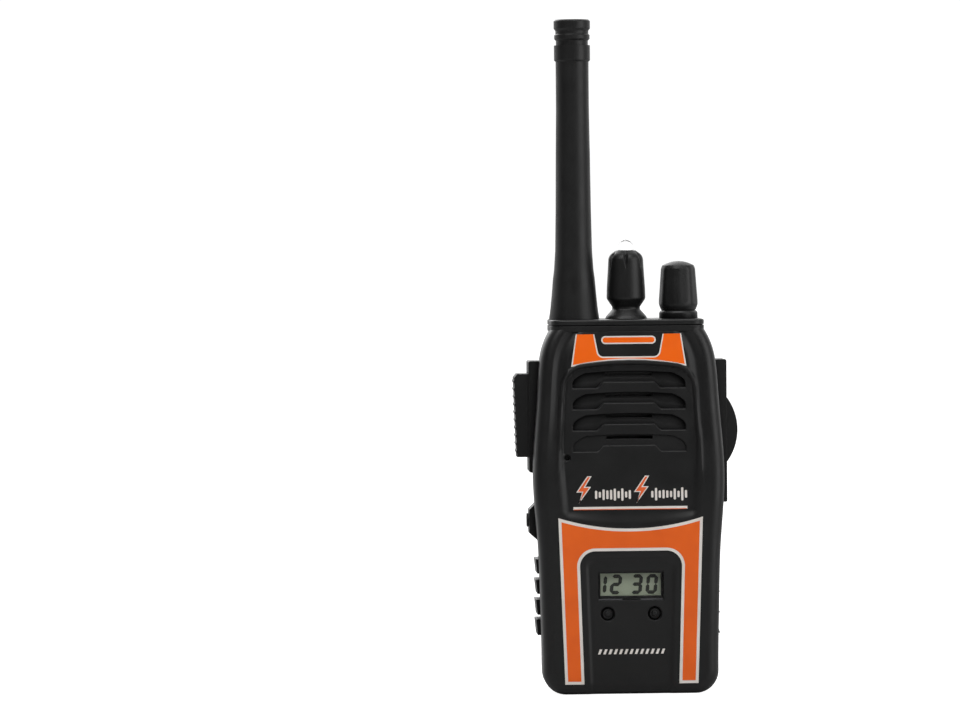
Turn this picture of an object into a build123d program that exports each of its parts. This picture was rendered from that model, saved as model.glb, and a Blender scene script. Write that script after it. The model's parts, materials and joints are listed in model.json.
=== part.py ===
from build123d import *
import math
import os

# A toy walkie talkie. Millimetres, +Z up, the front faces -Y, +X is the viewer's right.
# The origin is the centre of the flat base.

# Case, seen from the front: half width by height
SIDE_STATIONS = [(28.4, 7.4), (28.8, 30.0), (29.4, 48.0), (30.8, 70.0), (29.3, 95.0), (28.4, 107.0)]
FLANK_END_DIRECTION = (-0.12, 1.0)
SHOULDER_DIRECTION = (-0.62, 1.0)
SHOULDER_X = 25.0
CASE_HEIGHT = 117.0

# Case, seen from the side
FRONT_Y = -16.5
REAR_Y = 17.0
PARTING_Y = -5.0
LEAN_START_Z = 62.0
FRONT_TOP_Y = -13.0
LEAN_RADIUS = 60.0
REACH = 60.0
REACH_TOP = 140.0

# Walls and edges
FRONT_WALL = 3.0
REAR_WALL = 2.2
REAR_STEP = 1.0
FRONT_ROUND = 4.0
REAR_ROUND = 3.2
FLUTE_INSET = 3.6
FLUTE_WIDTH = 2.0
FLUTE_DEPTH = 0.5
PANEL_RECESS = 0.9
CLOCK_PANEL_RECESS = 0.5
LABEL_THICKNESS = 0.15

# Top cap, antenna and knobs
CAP_X = 24.8
CAP_FRONT_Y = -12.6
CAP_REAR_Y = 13.2
CAP_TOP_Z = 120.8
CAP_SEAM_Z = 118.8
ANTENNA_X = -16.6
TORCH_X = 0.3
VOLUME_X = 17.3
KNOB_Y = 0.0
TIP_Z = 217.8
SPIGOT_R = 4.0
SPIGOT_Z = 115.0
ANTENNA_BORE_R = 1.6
SOCKET_Z = (203.5, 209.5)
SOCKET_R = 3.5
CEILING_Z = 114.8
VOLUME_BOSS_R = 6.25
VOLUME_BOSS_TOP_Z = 123.5
VOLUME_KNOB_BOTTOM_Z = 123.8
VOLUME_KNOB_TAPER = 3.0
VOLUME_FLUTES = 8
VOLUME_FLUTE_R = 3.0
TORCH_NOTCHES = 6
TORCH_NOTCH_R = 1.0
TORCH_NOTCH_LEAN = 22.0
LED_BASE_Z = 137.8
LED_R = 2.5
LED_FLANGE_R = 2.9
LED_TIP_Z = 146.4
LEAD_BORE_R = 2.95
POT_R = 6.2
POT_Z = (106.0, 112.0)
SHAFT_R = 3.0
RUNNING_GAP = 0.06

# Side controls
BUTTON_Y = 4.4
BUTTON_WIDTH = 9.6
BUTTON_GAP = 0.3
LEFT_PAD = (31.7, (71.2, 107.4))
RIGHT_PAD = (32.7, (61.0, 107.4))
PAD_Y = (-1.8, 10.6)
TALK_Z = (76.2, 103.2)
TALK_RIBS = 10
CALL_Z = (73.8, 95.2)
CALL_DOME = 3.6
TORCH_BUTTON_Z = 55.5
TORCH_BUTTON_R = 2.25
RIB_SPANS = [(38.4, 43.1), (31.8, 36.4), (25.0, 29.9), (18.4, 23.5)]
RIB_ROOT_X = 24.6
LEFT_RIB_X = (29.4, 29.9)
RIGHT_RIB_X = (30.0, 28.3)
RIB_Y = (-2.4, 9.6)

# Grille, speaker and microphone
SLOT_BOTTOMS = [98.8, 92.0, 85.2, 78.4]
SLOT_DEPTHS = [1.3, 1.2, 1.0, 0.5]
SLOT_HALF_WIDTH = 18.2
SPEAKER_Z = 88.0
SPEAKER_R = 18.0
SPEAKER_FRONT_Y = -10.2
SPEAKER_DEPTH = 9.0
MIC_X = -20.1
MIC_Z = 76.6

# Clock
WINDOW_Z = 35.1
WINDOW_SIZE = (21.2, 9.2)
VIEW_SIZE = (19.8, 7.7)
CLOCK_BUTTON_X = 7.6
CLOCK_BUTTON_Z = 26.2
CLOCK_BUTTON_R = 1.6
CLOCK_BOARD_Y = (-10.0, -9.0)
CLOCK_POSTS = [(x, z) for x in (-15.4, 15.4) for z in (20.0, 42.0)]
CLOCK_PLATE_X = 17.2
CLOCK_PLATE_Z = (18.0, 44.0)
DISPLAY_X = 12.0
DISPLAY_Z = (29.9, 41.3)
DISPLAY_Y = (-13.4, -11.4)

# Main board and its posts
BOARD_Y = (1.0, 2.6)
BOARD_Z = (63.0, 104.0)
BOARD_POSTS = [(-18.5, 101.0), (18.5, 101.0), (-16.0, 67.0), (16.0, 67.0)]
SPEAKER_POSTS = [(-20.9, SPEAKER_Z), (20.9, SPEAKER_Z), (0.0, SPEAKER_Z - 20.9)]

# Battery and its compartment
BATTERY_SIZE = (26.5, 17.5, 46.4)
BATTERY_BASE_Z = 9.0
BATTERY_Y = 6.0
TERMINAL_X = 6.35
TERMINAL_HEIGHT = 2.2
SNAP_Z = (57.6, 59.4)
BAY_X = 13.7
BAY_Y = (-3.2, 14.9)
BAY_Z = (8.4, 60.2)
BAY_WALL = 1.3
DOOR_X = 17.0
DOOR_Z = (3.5, 61.8)
DOOR_Y = 15.1
DOOR_GAP = 0.3
DOOR_SCREW_Z = 6.4
DOOR_SCREW_R = 1.0
LEAD_X = 4.0
LEAD_Y = 9.0

# Belt clip
CLIP_AXIS_Y = 21.4
CLIP_AXIS_Z = 102.0
CLIP_X = 11.0
CLIP_Y = (22.2, 24.6)
CLIP_Z = (66.0, 112.0)
KNUCKLE_R = 2.4
KNUCKLE_INNER_X = 5.0
EAR_X = (11.3, 13.3)
BRACKET_Z = (93.5, 110.5)
BRACKET_THICKNESS = 1.6
BRACKET_SCREWS = [(x, z) for x in (-7.5, 7.5) for z in (96.0, 108.0)]
PIN_R = 1.1

# Case screws, seen from behind
CASE_SCREWS = [(-21.5, 10.0), (21.5, 10.0), (-23.4, 66.5), (23.4, 66.5)]
SCREW_R = 1.2
SCREW_HEAD_R = 2.3
BOSS_R = 3.0

# Printed marks on the front
PRINT_THICKNESS = 0.12
WAVE_X = (-11.0, 18.0)
WAVE_BARS = 25
WAVE_Z = 65.2
BOLT_XS = (-15.0, 3.6)
RULE_Z = 60.3
SMALL_MARK_Z = 14.0
SMALL_MARK_BARS = 13


def slab(face, y_from, y_to):
    """A face drawn with X across and Z up, made solid between two depths."""
    return extrude(Plane.XZ.offset(-y_to) * face, amount=y_to - y_from)


def block(x, y, z):
    """A box from its three pairs of limits."""
    size = [limits[1] - limits[0] for limits in (x, y, z)]
    middle = [(limits[1] + limits[0]) / 2 for limits in (x, y, z)]
    return Pos(*middle) * Box(*size)


def rod_z(x, y, r, z_from, z_to):
    return Pos(x, y, (z_from + z_to) / 2) * Cylinder(r, z_to - z_from)


def rod_y(x, z, r, y_from, y_to):
    return Pos(x, (y_from + y_to) / 2, z) * Rot(90, 0, 0) * Cylinder(r, y_to - y_from)


def rod_x(y, z, r, x_from, x_to):
    return Pos((x_from + x_to) / 2, y, z) * Rot(0, 90, 0) * Cylinder(r, x_to - x_from)


def turned(points, x, y):
    """A solid of revolution about a vertical axis, from its radius and height points."""
    outline = Polyline((0, points[0][1]), *points, (0, points[-1][1]), close=True)
    return Pos(x, y, 0) * revolve(Plane.XZ * make_face(outline), Axis.Z)


def mirrored_face(*half_edges):
    """A face from the edges of its right half, which start and end on the centre line."""
    half = Curve() + list(half_edges)
    return make_face(half + mirror(half, Plane.YZ))


def case_face(inset=0.0, end_inset=None):
    """The case seen from the front, with its sides, and its base and top, moved in."""
    end_inset = inset if end_inset is None else end_inset
    side = [(x - inset, z) for x, z in SIDE_STATIONS]
    radius = side[0][1] - end_inset
    centre = Vector(side[0][0] - radius, side[0][1])
    diagonal = radius / math.sqrt(2)
    top_z = CASE_HEIGHT - end_inset
    shoulder_end = (SHOULDER_X - inset, top_z)
    return mirrored_face(
        Line((0, end_inset), (centre.X, end_inset)),
        ThreePointArc((centre.X, end_inset), centre + Vector(diagonal, -diagonal), side[0]),
        Spline(*side, tangents=[(0, 1), FLANK_END_DIRECTION]),
        Spline(side[-1], shoulder_end, tangents=[FLANK_END_DIRECTION, SHOULDER_DIRECTION]),
        Line(shoulder_end, (0, top_z)),
    )


def front_y(z):
    """Where the front surface is at a height: upright below, leaning back above."""
    slope = (FRONT_TOP_Y - FRONT_Y) / (CASE_HEIGHT - LEAN_START_Z)
    return FRONT_Y + max(0.0, z - LEAN_START_Z) * slope


def behind_front(depth=0.0):
    """All space behind the front surface, or behind a copy of it set back by depth."""
    low = (FRONT_Y + depth, -REACH)
    bend = (FRONT_Y + depth, LEAN_START_Z)
    high = (front_y(REACH_TOP) + depth, REACH_TOP)
    wall = FilletPolyline(low, bend, high, radius=LEAN_RADIUS)
    rest = Polyline(high, (REACH, REACH_TOP), (REACH, -REACH), low)
    return extrude(Plane.YZ * make_face(Curve() + [wall, rest]), amount=REACH, both=True)


def skin(face, top, bottom):
    """The layer of the front between two depths below its surface, within a face."""
    return slab(face, -REACH / 2, 0) & (behind_front(top) - behind_front(bottom))


def tube(points, radius, bends):
    """A wire along straight runs joined by arcs."""
    path = FilletPolyline(*points, radius=bends) if len(points) > 2 else Line(*points)
    section = Plane(origin=path @ 0, z_dir=path % 0) * Circle(radius)
    return sweep(section, path=path)


def save(name, shape):
    """Keep one sub-part as a STEP file with its own name."""
    solid = shape if isinstance(shape, Compound) and len(shape.solids()) > 1 else shape.solid()
    solid.label = name
    export_step(solid, f"parts/{name}.step")


def group(shapes):
    return Compound(children=[shape.solid() for shape in shapes])


# Faces on the front

def speaker_panel_face():
    """The recessed panel round the grille, with its hollow lower edge."""
    return mirrored_face(
        ThreePointArc((0, 54.9), (11.0, 55.8), (20.6, 58.4)),
        Line((20.6, 58.4), (22.1, 61.0)),
        Spline((22.1, 61.0), (22.3, 71.0), (21.6, 87.0), (20.6, 101.0), tangents=[(0.1, 1), (-0.1, 1)]),
        ThreePointArc((20.6, 101.0), (19.7, 103.8), (17.2, 105.1)),
        ThreePointArc((17.2, 105.1), (9.0, 106.2), (0, 106.5)),
    )


def slot_face(bottom):
    """One grille pocket: an arched top, and a bottom edge raised in the middle."""
    end = SLOT_HALF_WIDTH
    return mirrored_face(
        Polyline((0, bottom + 2.0), (8.4, bottom + 2.0), (10.4, bottom), (end, bottom), (end, bottom + 1.6)),
        ThreePointArc((end, bottom + 1.6), (16.9, bottom + 3.3), (14.2, bottom + 4.1)),
        ThreePointArc((14.2, bottom + 4.1), (7.5, bottom + 5.0), (0, bottom + 5.2)),
    )


def slit_face(bottom):
    """The sound opening along the top of a pocket."""
    return Pos(0, bottom + 4.3) * SlotOverall(15.0, 1.0)


def upper_label_face():
    """The sticker under the top cap, cut out round the pill."""
    plain = mirrored_face(
        ThreePointArc((0, 107.9), (9.6, 107.3), (18.6, 105.8)),
        Line((18.6, 105.8), (17.0, 116.2)),
        Line((17.0, 116.2), (0, 116.2)),
    )
    notch = Polyline((-11.2, 117.0), (-9.6, 109.0), (9.6, 109.0), (11.2, 117.0), close=True)
    notch_face = make_face(notch)
    corners = notch_face.vertices().sort_by(Axis.Y)[:2]
    return plain - fillet(corners, 1.8)


def lower_label_face():
    """The sticker round the clock: an upside-down U with a hollow upper edge."""
    outer = mirrored_face(
        Line((0, 3.6), (21.5, 3.6)),
        Line((21.5, 3.6), (23.3, 57.3)),
        ThreePointArc((23.3, 57.3), (11.9, 54.6), (0, 53.7)),
    )
    inner = make_face(Polyline((-15.3, 3.0), (-16.6, 46.5), (16.6, 46.5), (15.3, 3.0), close=True))
    corners = inner.vertices().sort_by(Axis.Y)[2:]
    return outer - fillet(corners, 5.0)


def clock_panel_face():
    """The slightly sunk panel inside the lower sticker."""
    panel = make_face(Polyline((-13.0, 2.2), (-14.4, 44.4), (14.4, 44.4), (13.0, 2.2), close=True))
    corners = panel.vertices().sort_by(Axis.Y)[2:]
    return fillet(corners, 3.6)


# Case

def front_shell():
    outer = slab(case_face(), -REACH / 2, PARTING_Y) & behind_front()
    rim = [e for e in outer.edges() if e.center().Y < FRONT_TOP_Y + 0.6 and e.center().Z < CASE_HEIGHT - 1]
    outer = fillet(rim, FRONT_ROUND)
    flute = slab(case_face(FLUTE_INSET) - case_face(FLUTE_INSET + FLUTE_WIDTH), -REACH / 2, 0)
    flute = flute & block((-REACH, REACH), (-REACH, 0), (60.0, REACH_TOP))
    flute -= block((-19.3, 19.3), (-REACH, 0), (0, REACH_TOP))
    outer -= flute & behind_front(-1) - behind_front(FLUTE_DEPTH)
    outer -= skin(speaker_panel_face(), -1, PANEL_RECESS)
    outer -= skin(clock_panel_face(), -1, CLOCK_PANEL_RECESS)
    shell = outer - (slab(case_face(REAR_WALL + 0.6), -REACH / 2, PARTING_Y) & behind_front(FRONT_WALL))
    for x, z in CASE_SCREWS:
        shell += rod_y(x, z, BOSS_R, front_y(z) + 1.5, PARTING_Y)
        shell -= rod_y(x, z, SCREW_R, front_y(z) + 4.0, PARTING_Y)
    for x, z in BOARD_POSTS:
        shell += rod_y(x, z, 2.0, front_y(z) + 2.0, BOARD_Y[0])
        shell -= rod_y(x, z, 0.9, BOARD_Y[0] - 5.0, BOARD_Y[0])
    for x, z in SPEAKER_POSTS:
        shell += rod_y(x, z, 1.8, front_y(z) + 2.0, SPEAKER_FRONT_Y + 1.2)
        shell -= rod_y(x, z, 0.85, SPEAKER_FRONT_Y - 0.4, SPEAKER_FRONT_Y + 1.2)
    for x, z in CLOCK_POSTS:
        shell += rod_y(x, z, 1.8, front_y(z) + 2.0, CLOCK_BOARD_Y[0])
        shell -= rod_y(x, z, 0.85, CLOCK_BOARD_Y[0] - 2.8, CLOCK_BOARD_Y[0])
    inside = behind_front(FRONT_WALL - 0.5)
    ledge = slab(Pos(0, SPEAKER_Z) * (Circle(18.4) - Circle(16.4)), -REACH / 2, SPEAKER_FRONT_Y - 0.4)
    shell += ledge & inside
    mic_ring = slab(Pos(MIC_X, MIC_Z) * (Circle(4.0) - Circle(3.05)), -REACH / 2, -10.4)
    shell += mic_ring & inside & slab(case_face(1.5), -REACH / 2, 0)
    shell -= slab(Pos(MIC_X, MIC_Z) * Circle(0.8), -REACH / 2, -9.0)
    for bottom, depth in zip(SLOT_BOTTOMS, SLOT_DEPTHS):
        shell -= skin(slot_face(bottom), -1, PANEL_RECESS + depth)
        shell -= slab(slit_face(bottom), -REACH / 2, SPEAKER_FRONT_Y - 0.4)
    shell -= slab(Pos(0, WINDOW_Z) * RectangleRounded(*WINDOW_SIZE, 0.8), -REACH / 2, FRONT_Y + 1.8)
    shell -= slab(Pos(0, WINDOW_Z + 0.45) * Rectangle(*VIEW_SIZE), -REACH / 2, -13.0)
    for x in (-CLOCK_BUTTON_X, CLOCK_BUTTON_X):
        shell -= rod_y(x, CLOCK_BUTTON_Z, 2.25, FRONT_Y - 1, FRONT_Y + 1.2)
        shell -= rod_y(x, CLOCK_BUTTON_Z, CLOCK_BUTTON_R + 0.15, FRONT_Y - 1, -13.0)
    return shell


def top_holes(z_from, z_to):
    """The holes for the antenna spigot, the torch knob's spigot and the volume shaft."""
    holes = rod_z(VOLUME_X, KNOB_Y, SHAFT_R + 0.5, z_from, z_to)
    for x in (ANTENNA_X, TORCH_X):
        holes += rod_z(x, KNOB_Y, SPIGOT_R + 0.05, z_from, z_to)
    return holes


def side_pad(pad_x, z_limits, side):
    """The raised pad round a side button, its outer edges rounded; side is -1 on the left."""
    x = sorted((24.0 * side, pad_x * side))
    pad = block(x, PAD_Y, z_limits)
    outer_edges = pad.edges().filter_by(Axis.Y).group_by(Axis.X)[0 if side < 0 else -1]
    return fillet(outer_edges, 0.6)


def grip_ribs(low_x, high_x, side):
    """The four teeth low on one side, from their reach at the lower and at the upper end."""
    ribs = []
    for low, high in RIB_SPANS:
        tooth = Polyline(
            (RIB_ROOT_X * side, low), (low_x * side, low), (high_x * side, high), (RIB_ROOT_X * side, high),
            close=True,
        )
        ribs.append(slab(make_face(tooth), *RIB_Y))
    return ribs


def side_bump(outline, half_width):
    return slab(make_face(Polyline(*outline, close=True)), BUTTON_Y - half_width, BUTTON_Y + half_width)


def add_side_details(shell):
    """The pads, the grip ribs, the torch button's boss and the bump opposite it."""
    shell += side_pad(*LEFT_PAD, -1)
    shell += side_pad(*RIGHT_PAD, 1)
    for rib in grip_ribs(*LEFT_RIB_X, -1) + grip_ribs(*RIGHT_RIB_X, 1):
        shell += rib
    boss = [(-26, 48.4), (-28.4, 48.4), (-31.7, 51.4), (-31.7, 59.0), (-29.2, 61.5), (-26, 61.5)]
    bump = [(26, 47.7), (28.2, 47.7), (29.4, 49.4), (29.4, 54.4), (28.6, 56.0), (26, 56.0)]
    return shell + side_bump(boss, 4.0) + side_bump(bump, 4.0)


def rear_shell():
    outer = slab(case_face(REAR_STEP, 0.0), PARTING_Y, REAR_Y)
    rim = [e for e in outer.edges().group_by(Axis.Y)[-1] if e.center().Z < CASE_HEIGHT - 1]
    outer = fillet(rim, REAR_ROUND)
    slope = [(CAP_REAR_Y + 0.3, CASE_HEIGHT), (REAR_Y + 1, CASE_HEIGHT), (REAR_Y + 1, 110.0)]
    outer -= extrude(Plane.YZ * make_face(Polyline(*slope, close=True)), amount=REACH, both=True)
    outer = add_side_details(outer)
    hollow_face = case_face(REAR_STEP + REAR_WALL, REAR_WALL)
    cavity = slab(hollow_face, PARTING_Y, REAR_Y - REAR_WALL)
    shell = outer - cavity
    shell += block(
        (-BAY_X - BAY_WALL, BAY_X + BAY_WALL),
        (BAY_Y[0] - BAY_WALL, REAR_Y - 1.2),
        (BAY_Z[0] - BAY_WALL, BAY_Z[1] + BAY_WALL),
    )
    shell += rod_y(0, DOOR_SCREW_Z, 2.6, 7.0, DOOR_Y)
    shell -= block((-BAY_X, BAY_X), (BAY_Y[0], REACH), BAY_Z)
    shell -= block((-DOOR_X, DOOR_X), (DOOR_Y, REACH), DOOR_Z)
    shell -= rod_y(0, DOOR_SCREW_Z, DOOR_SCREW_R + 0.1, 8.0, DOOR_Y)
    for x in (-LEAD_X, LEAD_X):
        shell -= rod_z(x, LEAD_Y, 1.2, BAY_Z[1] - 1, BAY_Z[1] + BAY_WALL + 1)
    for x, z in CASE_SCREWS:
        shell += rod_y(x, z, BOSS_R, PARTING_Y, REAR_Y - 1.5)
        shell -= rod_y(x, z, SCREW_R + 0.2, PARTING_Y - 1, REAR_Y - 4)
        shell -= rod_y(x, z, SCREW_HEAD_R + 0.3, 6.0, REACH)
    for x, z in BRACKET_SCREWS:
        shell += rod_y(x, z, 2.2, REAR_Y - 4.5, REAR_Y - 1)
        shell -= rod_y(x, z, 0.9, REAR_Y - 4.0, REACH)
    shell -= side_opening(TALK_Z, -1)
    shell -= side_opening(CALL_Z, 1)
    shell -= rod_x(BUTTON_Y, TORCH_BUTTON_Z, TORCH_BUTTON_R + 0.25, -REACH, -20.0)
    shell -= top_holes(CEILING_Z - 1, CASE_HEIGHT + 1)
    return shell


def side_opening(z_limits, side):
    """The opening that a side button slides in; side is -1 on the left."""
    half = BUTTON_WIDTH / 2 + BUTTON_GAP
    x = sorted((20.0 * side, REACH * side))
    return block(x, (BUTTON_Y - half, BUTTON_Y + half), (z_limits[0] - BUTTON_GAP, z_limits[1] + BUTTON_GAP))


def top_cap():
    """The plate over both shells, with a seam round its edge and a boss under the volume knob."""
    size = (2 * CAP_X, CAP_REAR_Y - CAP_FRONT_Y)
    face = Pos(0, (CAP_REAR_Y + CAP_FRONT_Y) / 2) * RectangleRounded(*size, 4.0)
    cap = extrude(Plane.XY.offset(CASE_HEIGHT) * face, amount=CAP_TOP_Z - CASE_HEIGHT)
    cap = fillet(cap.edges().group_by(Axis.Z)[-1], 0.6)
    groove = extrude(Plane.XY.offset(CAP_SEAM_Z) * (offset(face, 1.0) - offset(face, -0.35)), amount=0.35)
    cap -= groove
    boss = rod_z(VOLUME_X, KNOB_Y, VOLUME_BOSS_R, CAP_TOP_Z - 1, VOLUME_BOSS_TOP_Z)
    cap += fillet(boss.edges().group_by(Axis.Z)[-1], 1.1)
    return cap - top_holes(CASE_HEIGHT - 1, CAP_TOP_Z + 5)


# Antenna and torch

def antenna_sleeve():
    """The flared, hollow sleeve, with a spigot that goes down through the case."""
    profile = [
        (SPIGOT_R, SPIGOT_Z), (SPIGOT_R, CAP_TOP_Z), (8.2, CAP_TOP_Z), (8.1, 121.6), (7.7, 124.4),
        (7.35, 127.6), (7.05, 131.0), (6.8, 134.0), (6.4, 137.0), (6.0, 143.0), (5.75, 156.0),
        (5.55, 175.0), (5.35, 190.0), (5.35, 204.2), (5.85, 204.7), (5.85, SOCKET_Z[1]),
    ]
    sleeve = turned(profile, ANTENNA_X, KNOB_Y)
    sleeve -= rod_z(ANTENNA_X, KNOB_Y, ANTENNA_BORE_R, SPIGOT_Z, SOCKET_Z[0])
    return sleeve - rod_z(ANTENNA_X, KNOB_Y, SOCKET_R, *SOCKET_Z)


def antenna_tip():
    """The ringed end cap and its plug."""
    profile = [
        (SOCKET_R, SOCKET_Z[0]), (SOCKET_R, SOCKET_Z[1]), (5.2, SOCKET_Z[1]), (5.2, 211.0), (5.75, 211.6),
        (5.75, 212.8), (5.35, 213.2), (5.35, 214.2), (5.9, 215.0), (5.9, 217.3), (5.4, TIP_Z),
    ]
    return turned(profile, ANTENNA_X, KNOB_Y)


def antenna_screw():
    """The screw and washer under the case's ceiling that hold the antenna."""
    washer = rod_z(ANTENNA_X, KNOB_Y, 4.8, CEILING_Z - 1, CEILING_Z)
    head = rod_z(ANTENNA_X, KNOB_Y, 2.8, CEILING_Z - 3, CEILING_Z - 1)
    shank = rod_z(ANTENNA_X, KNOB_Y, ANTENNA_BORE_R, CEILING_Z - 1, 126.0)
    return washer + head + shank - cross_recess(ANTENNA_X, KNOB_Y, CEILING_Z - 3)


def cross_recess(x, y, z):
    """A cross recess in a screw head that faces down, with its face at z."""
    arm = Box(2.6, 0.6, 1.6) + Box(0.6, 2.6, 1.6)
    return Pos(x, y, z) * arm


def torch_knob():
    """The fixed knob that holds the torch's LED: a skirt, a neck and a tapered body."""
    profile = [
        (SPIGOT_R, SPIGOT_Z), (SPIGOT_R, CAP_TOP_Z), (6.9, CAP_TOP_Z), (6.6, 121.6), (4.5, 123.8),
        (4.5, 124.6), (6.3, 127.4), (6.2, 131.0), (5.78, 137.9), (5.55, 140.4), (5.1, 141.4), (4.1, 142.4),
        (3.2, 143.0),
    ]
    knob = turned(profile, TORCH_X, KNOB_Y)
    notch = Pos(6.0, 0, 138.6) * Rot(0, -TORCH_NOTCH_LEAN, 0) * Cylinder(TORCH_NOTCH_R, 20.0)
    for i in range(TORCH_NOTCHES):
        knob -= Pos(TORCH_X, KNOB_Y, 0) * Rot(0, 0, 30 + 360 / TORCH_NOTCHES * i) * notch
    knob -= rod_z(TORCH_X, KNOB_Y, LEAD_BORE_R, SPIGOT_Z, LED_BASE_Z + 1.0)
    return knob - rod_z(TORCH_X, KNOB_Y, LED_R + 0.05, LED_BASE_Z, LED_TIP_Z)


def torch_led():
    dome_z = LED_TIP_Z - LED_R
    led = rod_z(TORCH_X, KNOB_Y, LED_FLANGE_R, LED_BASE_Z, LED_BASE_Z + 1.0)
    led += rod_z(TORCH_X, KNOB_Y, LED_R, LED_BASE_Z, dome_z)
    return led + Pos(TORCH_X, KNOB_Y, dome_z) * Sphere(LED_R)


def torch_leads():
    board_y = sum(BOARD_Y) / 2
    leads = []
    for x in (TORCH_X - 1.27, TORCH_X + 1.27):
        start = (x, KNOB_Y, LED_BASE_Z)
        route = [start, (x, KNOB_Y, 109.0), (x, board_y, 106.6), (x, board_y, BOARD_Z[1])]
        leads.append(tube(route, 0.3, 1.0))
    return leads


def antenna_leads():
    x = ANTENNA_X + 3.8
    board_y = sum(BOARD_Y) / 2
    start = (x, KNOB_Y, CEILING_Z - 1)
    return [tube([start, (x, KNOB_Y, 109.0), (x, board_y, 106.6), (x, board_y, BOARD_Z[1])], 0.5, 1.0)]


# Volume control

def volume_knob():
    """The knob, pushed onto the shaft: eight shallow flutes under a domed top."""
    profile = [
        (5.2, VOLUME_KNOB_BOTTOM_Z), (5.4, 124.1), (6.3, 125.4), (6.25, 127.0), (5.55, 137.3),
        (5.0, 138.1), (3.7, 138.8), (1.9, 139.25), (0.8, 139.4),
    ]
    knob = turned(profile, VOLUME_X, KNOB_Y)
    flute_place = Pos(5.35 + VOLUME_FLUTE_R, 0, 132.0) * Rot(0, -VOLUME_KNOB_TAPER, 0)
    flute = flute_place * Cylinder(VOLUME_FLUTE_R, 30.0)
    for i in range(VOLUME_FLUTES):
        knob -= Pos(VOLUME_X, KNOB_Y, 0) * Rot(0, 0, 360 / VOLUME_FLUTES * i) * flute
    return knob - rod_z(VOLUME_X, KNOB_Y, SHAFT_R, VOLUME_KNOB_BOTTOM_Z, 134.0)


def volume_shaft():
    return rod_z(VOLUME_X, KNOB_Y, SHAFT_R, POT_Z[0] + 1.2, 134.0)


def volume_pot():
    """The potentiometer under the ceiling, with three pins down to the board."""
    pot = rod_z(VOLUME_X, KNOB_Y, POT_R, *POT_Z) + rod_z(VOLUME_X, KNOB_Y, 4.5, POT_Z[1], CEILING_Z)
    pot -= rod_z(VOLUME_X, KNOB_Y, SHAFT_R + RUNNING_GAP, POT_Z[0] + 1.0, CEILING_Z)
    for offset_x in (-2.5, 0.0, 2.5):
        pot += rod_z(VOLUME_X + offset_x, sum(BOARD_Y) / 2, 0.4, BOARD_Z[1], POT_Z[0] + 0.5)
    return pot


# Side buttons and their switches

def flange(z_limits, side):
    """The plate inside the case that keeps a side button in."""
    x = sorted((23.8 * side, 25.0 * side))
    half = BUTTON_WIDTH / 2 + 1.2
    return block(x, (BUTTON_Y - half, BUTTON_Y + half), (z_limits[0] - 1.5, z_limits[1] + 1.5))


def talk_button():
    """The long push-to-talk bar on the left, ribbed across."""
    low, high = TALK_Z
    outline = [(-24.5, low), (-35.5, low), (-36.3, high - 1.2), (-35.3, high), (-24.5, high)]
    half = BUTTON_WIDTH / 2
    bar = slab(make_face(Polyline(*outline, close=True)), BUTTON_Y - half, BUTTON_Y + half)
    for i in range(TALK_RIBS):
        part = (i + 0.5) / TALK_RIBS
        z = low + 0.6 + (high - low - 1.8) * part
        bar += rod_y(-35.15 - 0.8 * part, z, 0.65, BUTTON_Y - half, BUTTON_Y + half)
    return bar + flange(TALK_Z, -1)


def call_button():
    """The domed button on the right."""
    low, high = CALL_Z
    middle = (low + high) / 2
    half = BUTTON_WIDTH / 2
    edge_x = RIGHT_PAD[0]
    outline = Curve() + [
        Polyline((edge_x, low), (24.5, low), (24.5, high), (edge_x, high)),
        ThreePointArc((edge_x, high), (edge_x + CALL_DOME, middle), (edge_x, low)),
    ]
    return slab(make_face(outline), BUTTON_Y - half, BUTTON_Y + half) + flange(CALL_Z, 1)


def torch_button():
    pin = rod_x(BUTTON_Y, TORCH_BUTTON_Z, TORCH_BUTTON_R, -32.4, -25.0)
    return pin + rod_x(BUTTON_Y, TORCH_BUTTON_Z, TORCH_BUTTON_R + 1.1, -26.0, -24.8)


def side_switch(z_middle, height, side, hole_r):
    """A push switch on the back of the board, open towards its button."""
    x = sorted((15.6 * side, 21.4 * side))
    z = (z_middle - height / 2, z_middle + height / 2)
    body = block(x, (BOARD_Y[1], BOARD_Y[1] + 3.6), z)
    hole = sorted((17.0 * side, 21.4 * side))
    return body - rod_x(BUTTON_Y, z_middle, hole_r, *hole)


def plunger(z_middle, side, r, outer_x):
    x = sorted((19.4 * side, outer_x * side))
    return rod_x(BUTTON_Y, z_middle, r, *x)


# Grille side of the case: speaker and microphone

def facing_front(points, z):
    """A solid of revolution about a front-to-back axis; its heights run forwards from y = 0."""
    return Pos(0, 0, z) * Rot(90, 0, 0) * turned(points, 0, 0)


def speaker_part(points):
    return Pos(0, SPEAKER_FRONT_Y + SPEAKER_DEPTH, 0) * facing_front(points, SPEAKER_Z)


def speaker_frame():
    """The pressed basket: a rim, a sloping wall and a back plate."""
    outside = [(9.8, 2.8), (9.8, 3.6), (16.4, 7.8), (SPEAKER_R, 7.8), (SPEAKER_R, SPEAKER_DEPTH)]
    inside = [(9.0, 3.6), (15.6, 8.0), (15.6, SPEAKER_DEPTH)]
    terminal_tab = block((9.1, 14.0), (-4.0, -3.2), (SPEAKER_Z - 3, SPEAKER_Z + 3))
    return speaker_part(outside) - speaker_part(inside) + terminal_tab


def speaker_cone():
    """The paper cone with its rolled edge and dust cap."""
    top = [(0, 6.9), (3.5, 6.4), (5.0, 5.4), (12.6, 8.4), (13.5, 8.9), (15.5, 8.6)]
    thickness = 0.4
    under = [(r, height - thickness) for r, height in reversed(top)]
    outline = Polyline(*top, *under, close=True)
    solid = revolve(Plane.XZ * make_face(outline), Axis.Z)
    return Pos(0, SPEAKER_FRONT_Y + SPEAKER_DEPTH, SPEAKER_Z) * Rot(90, 0, 0) * solid


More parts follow.
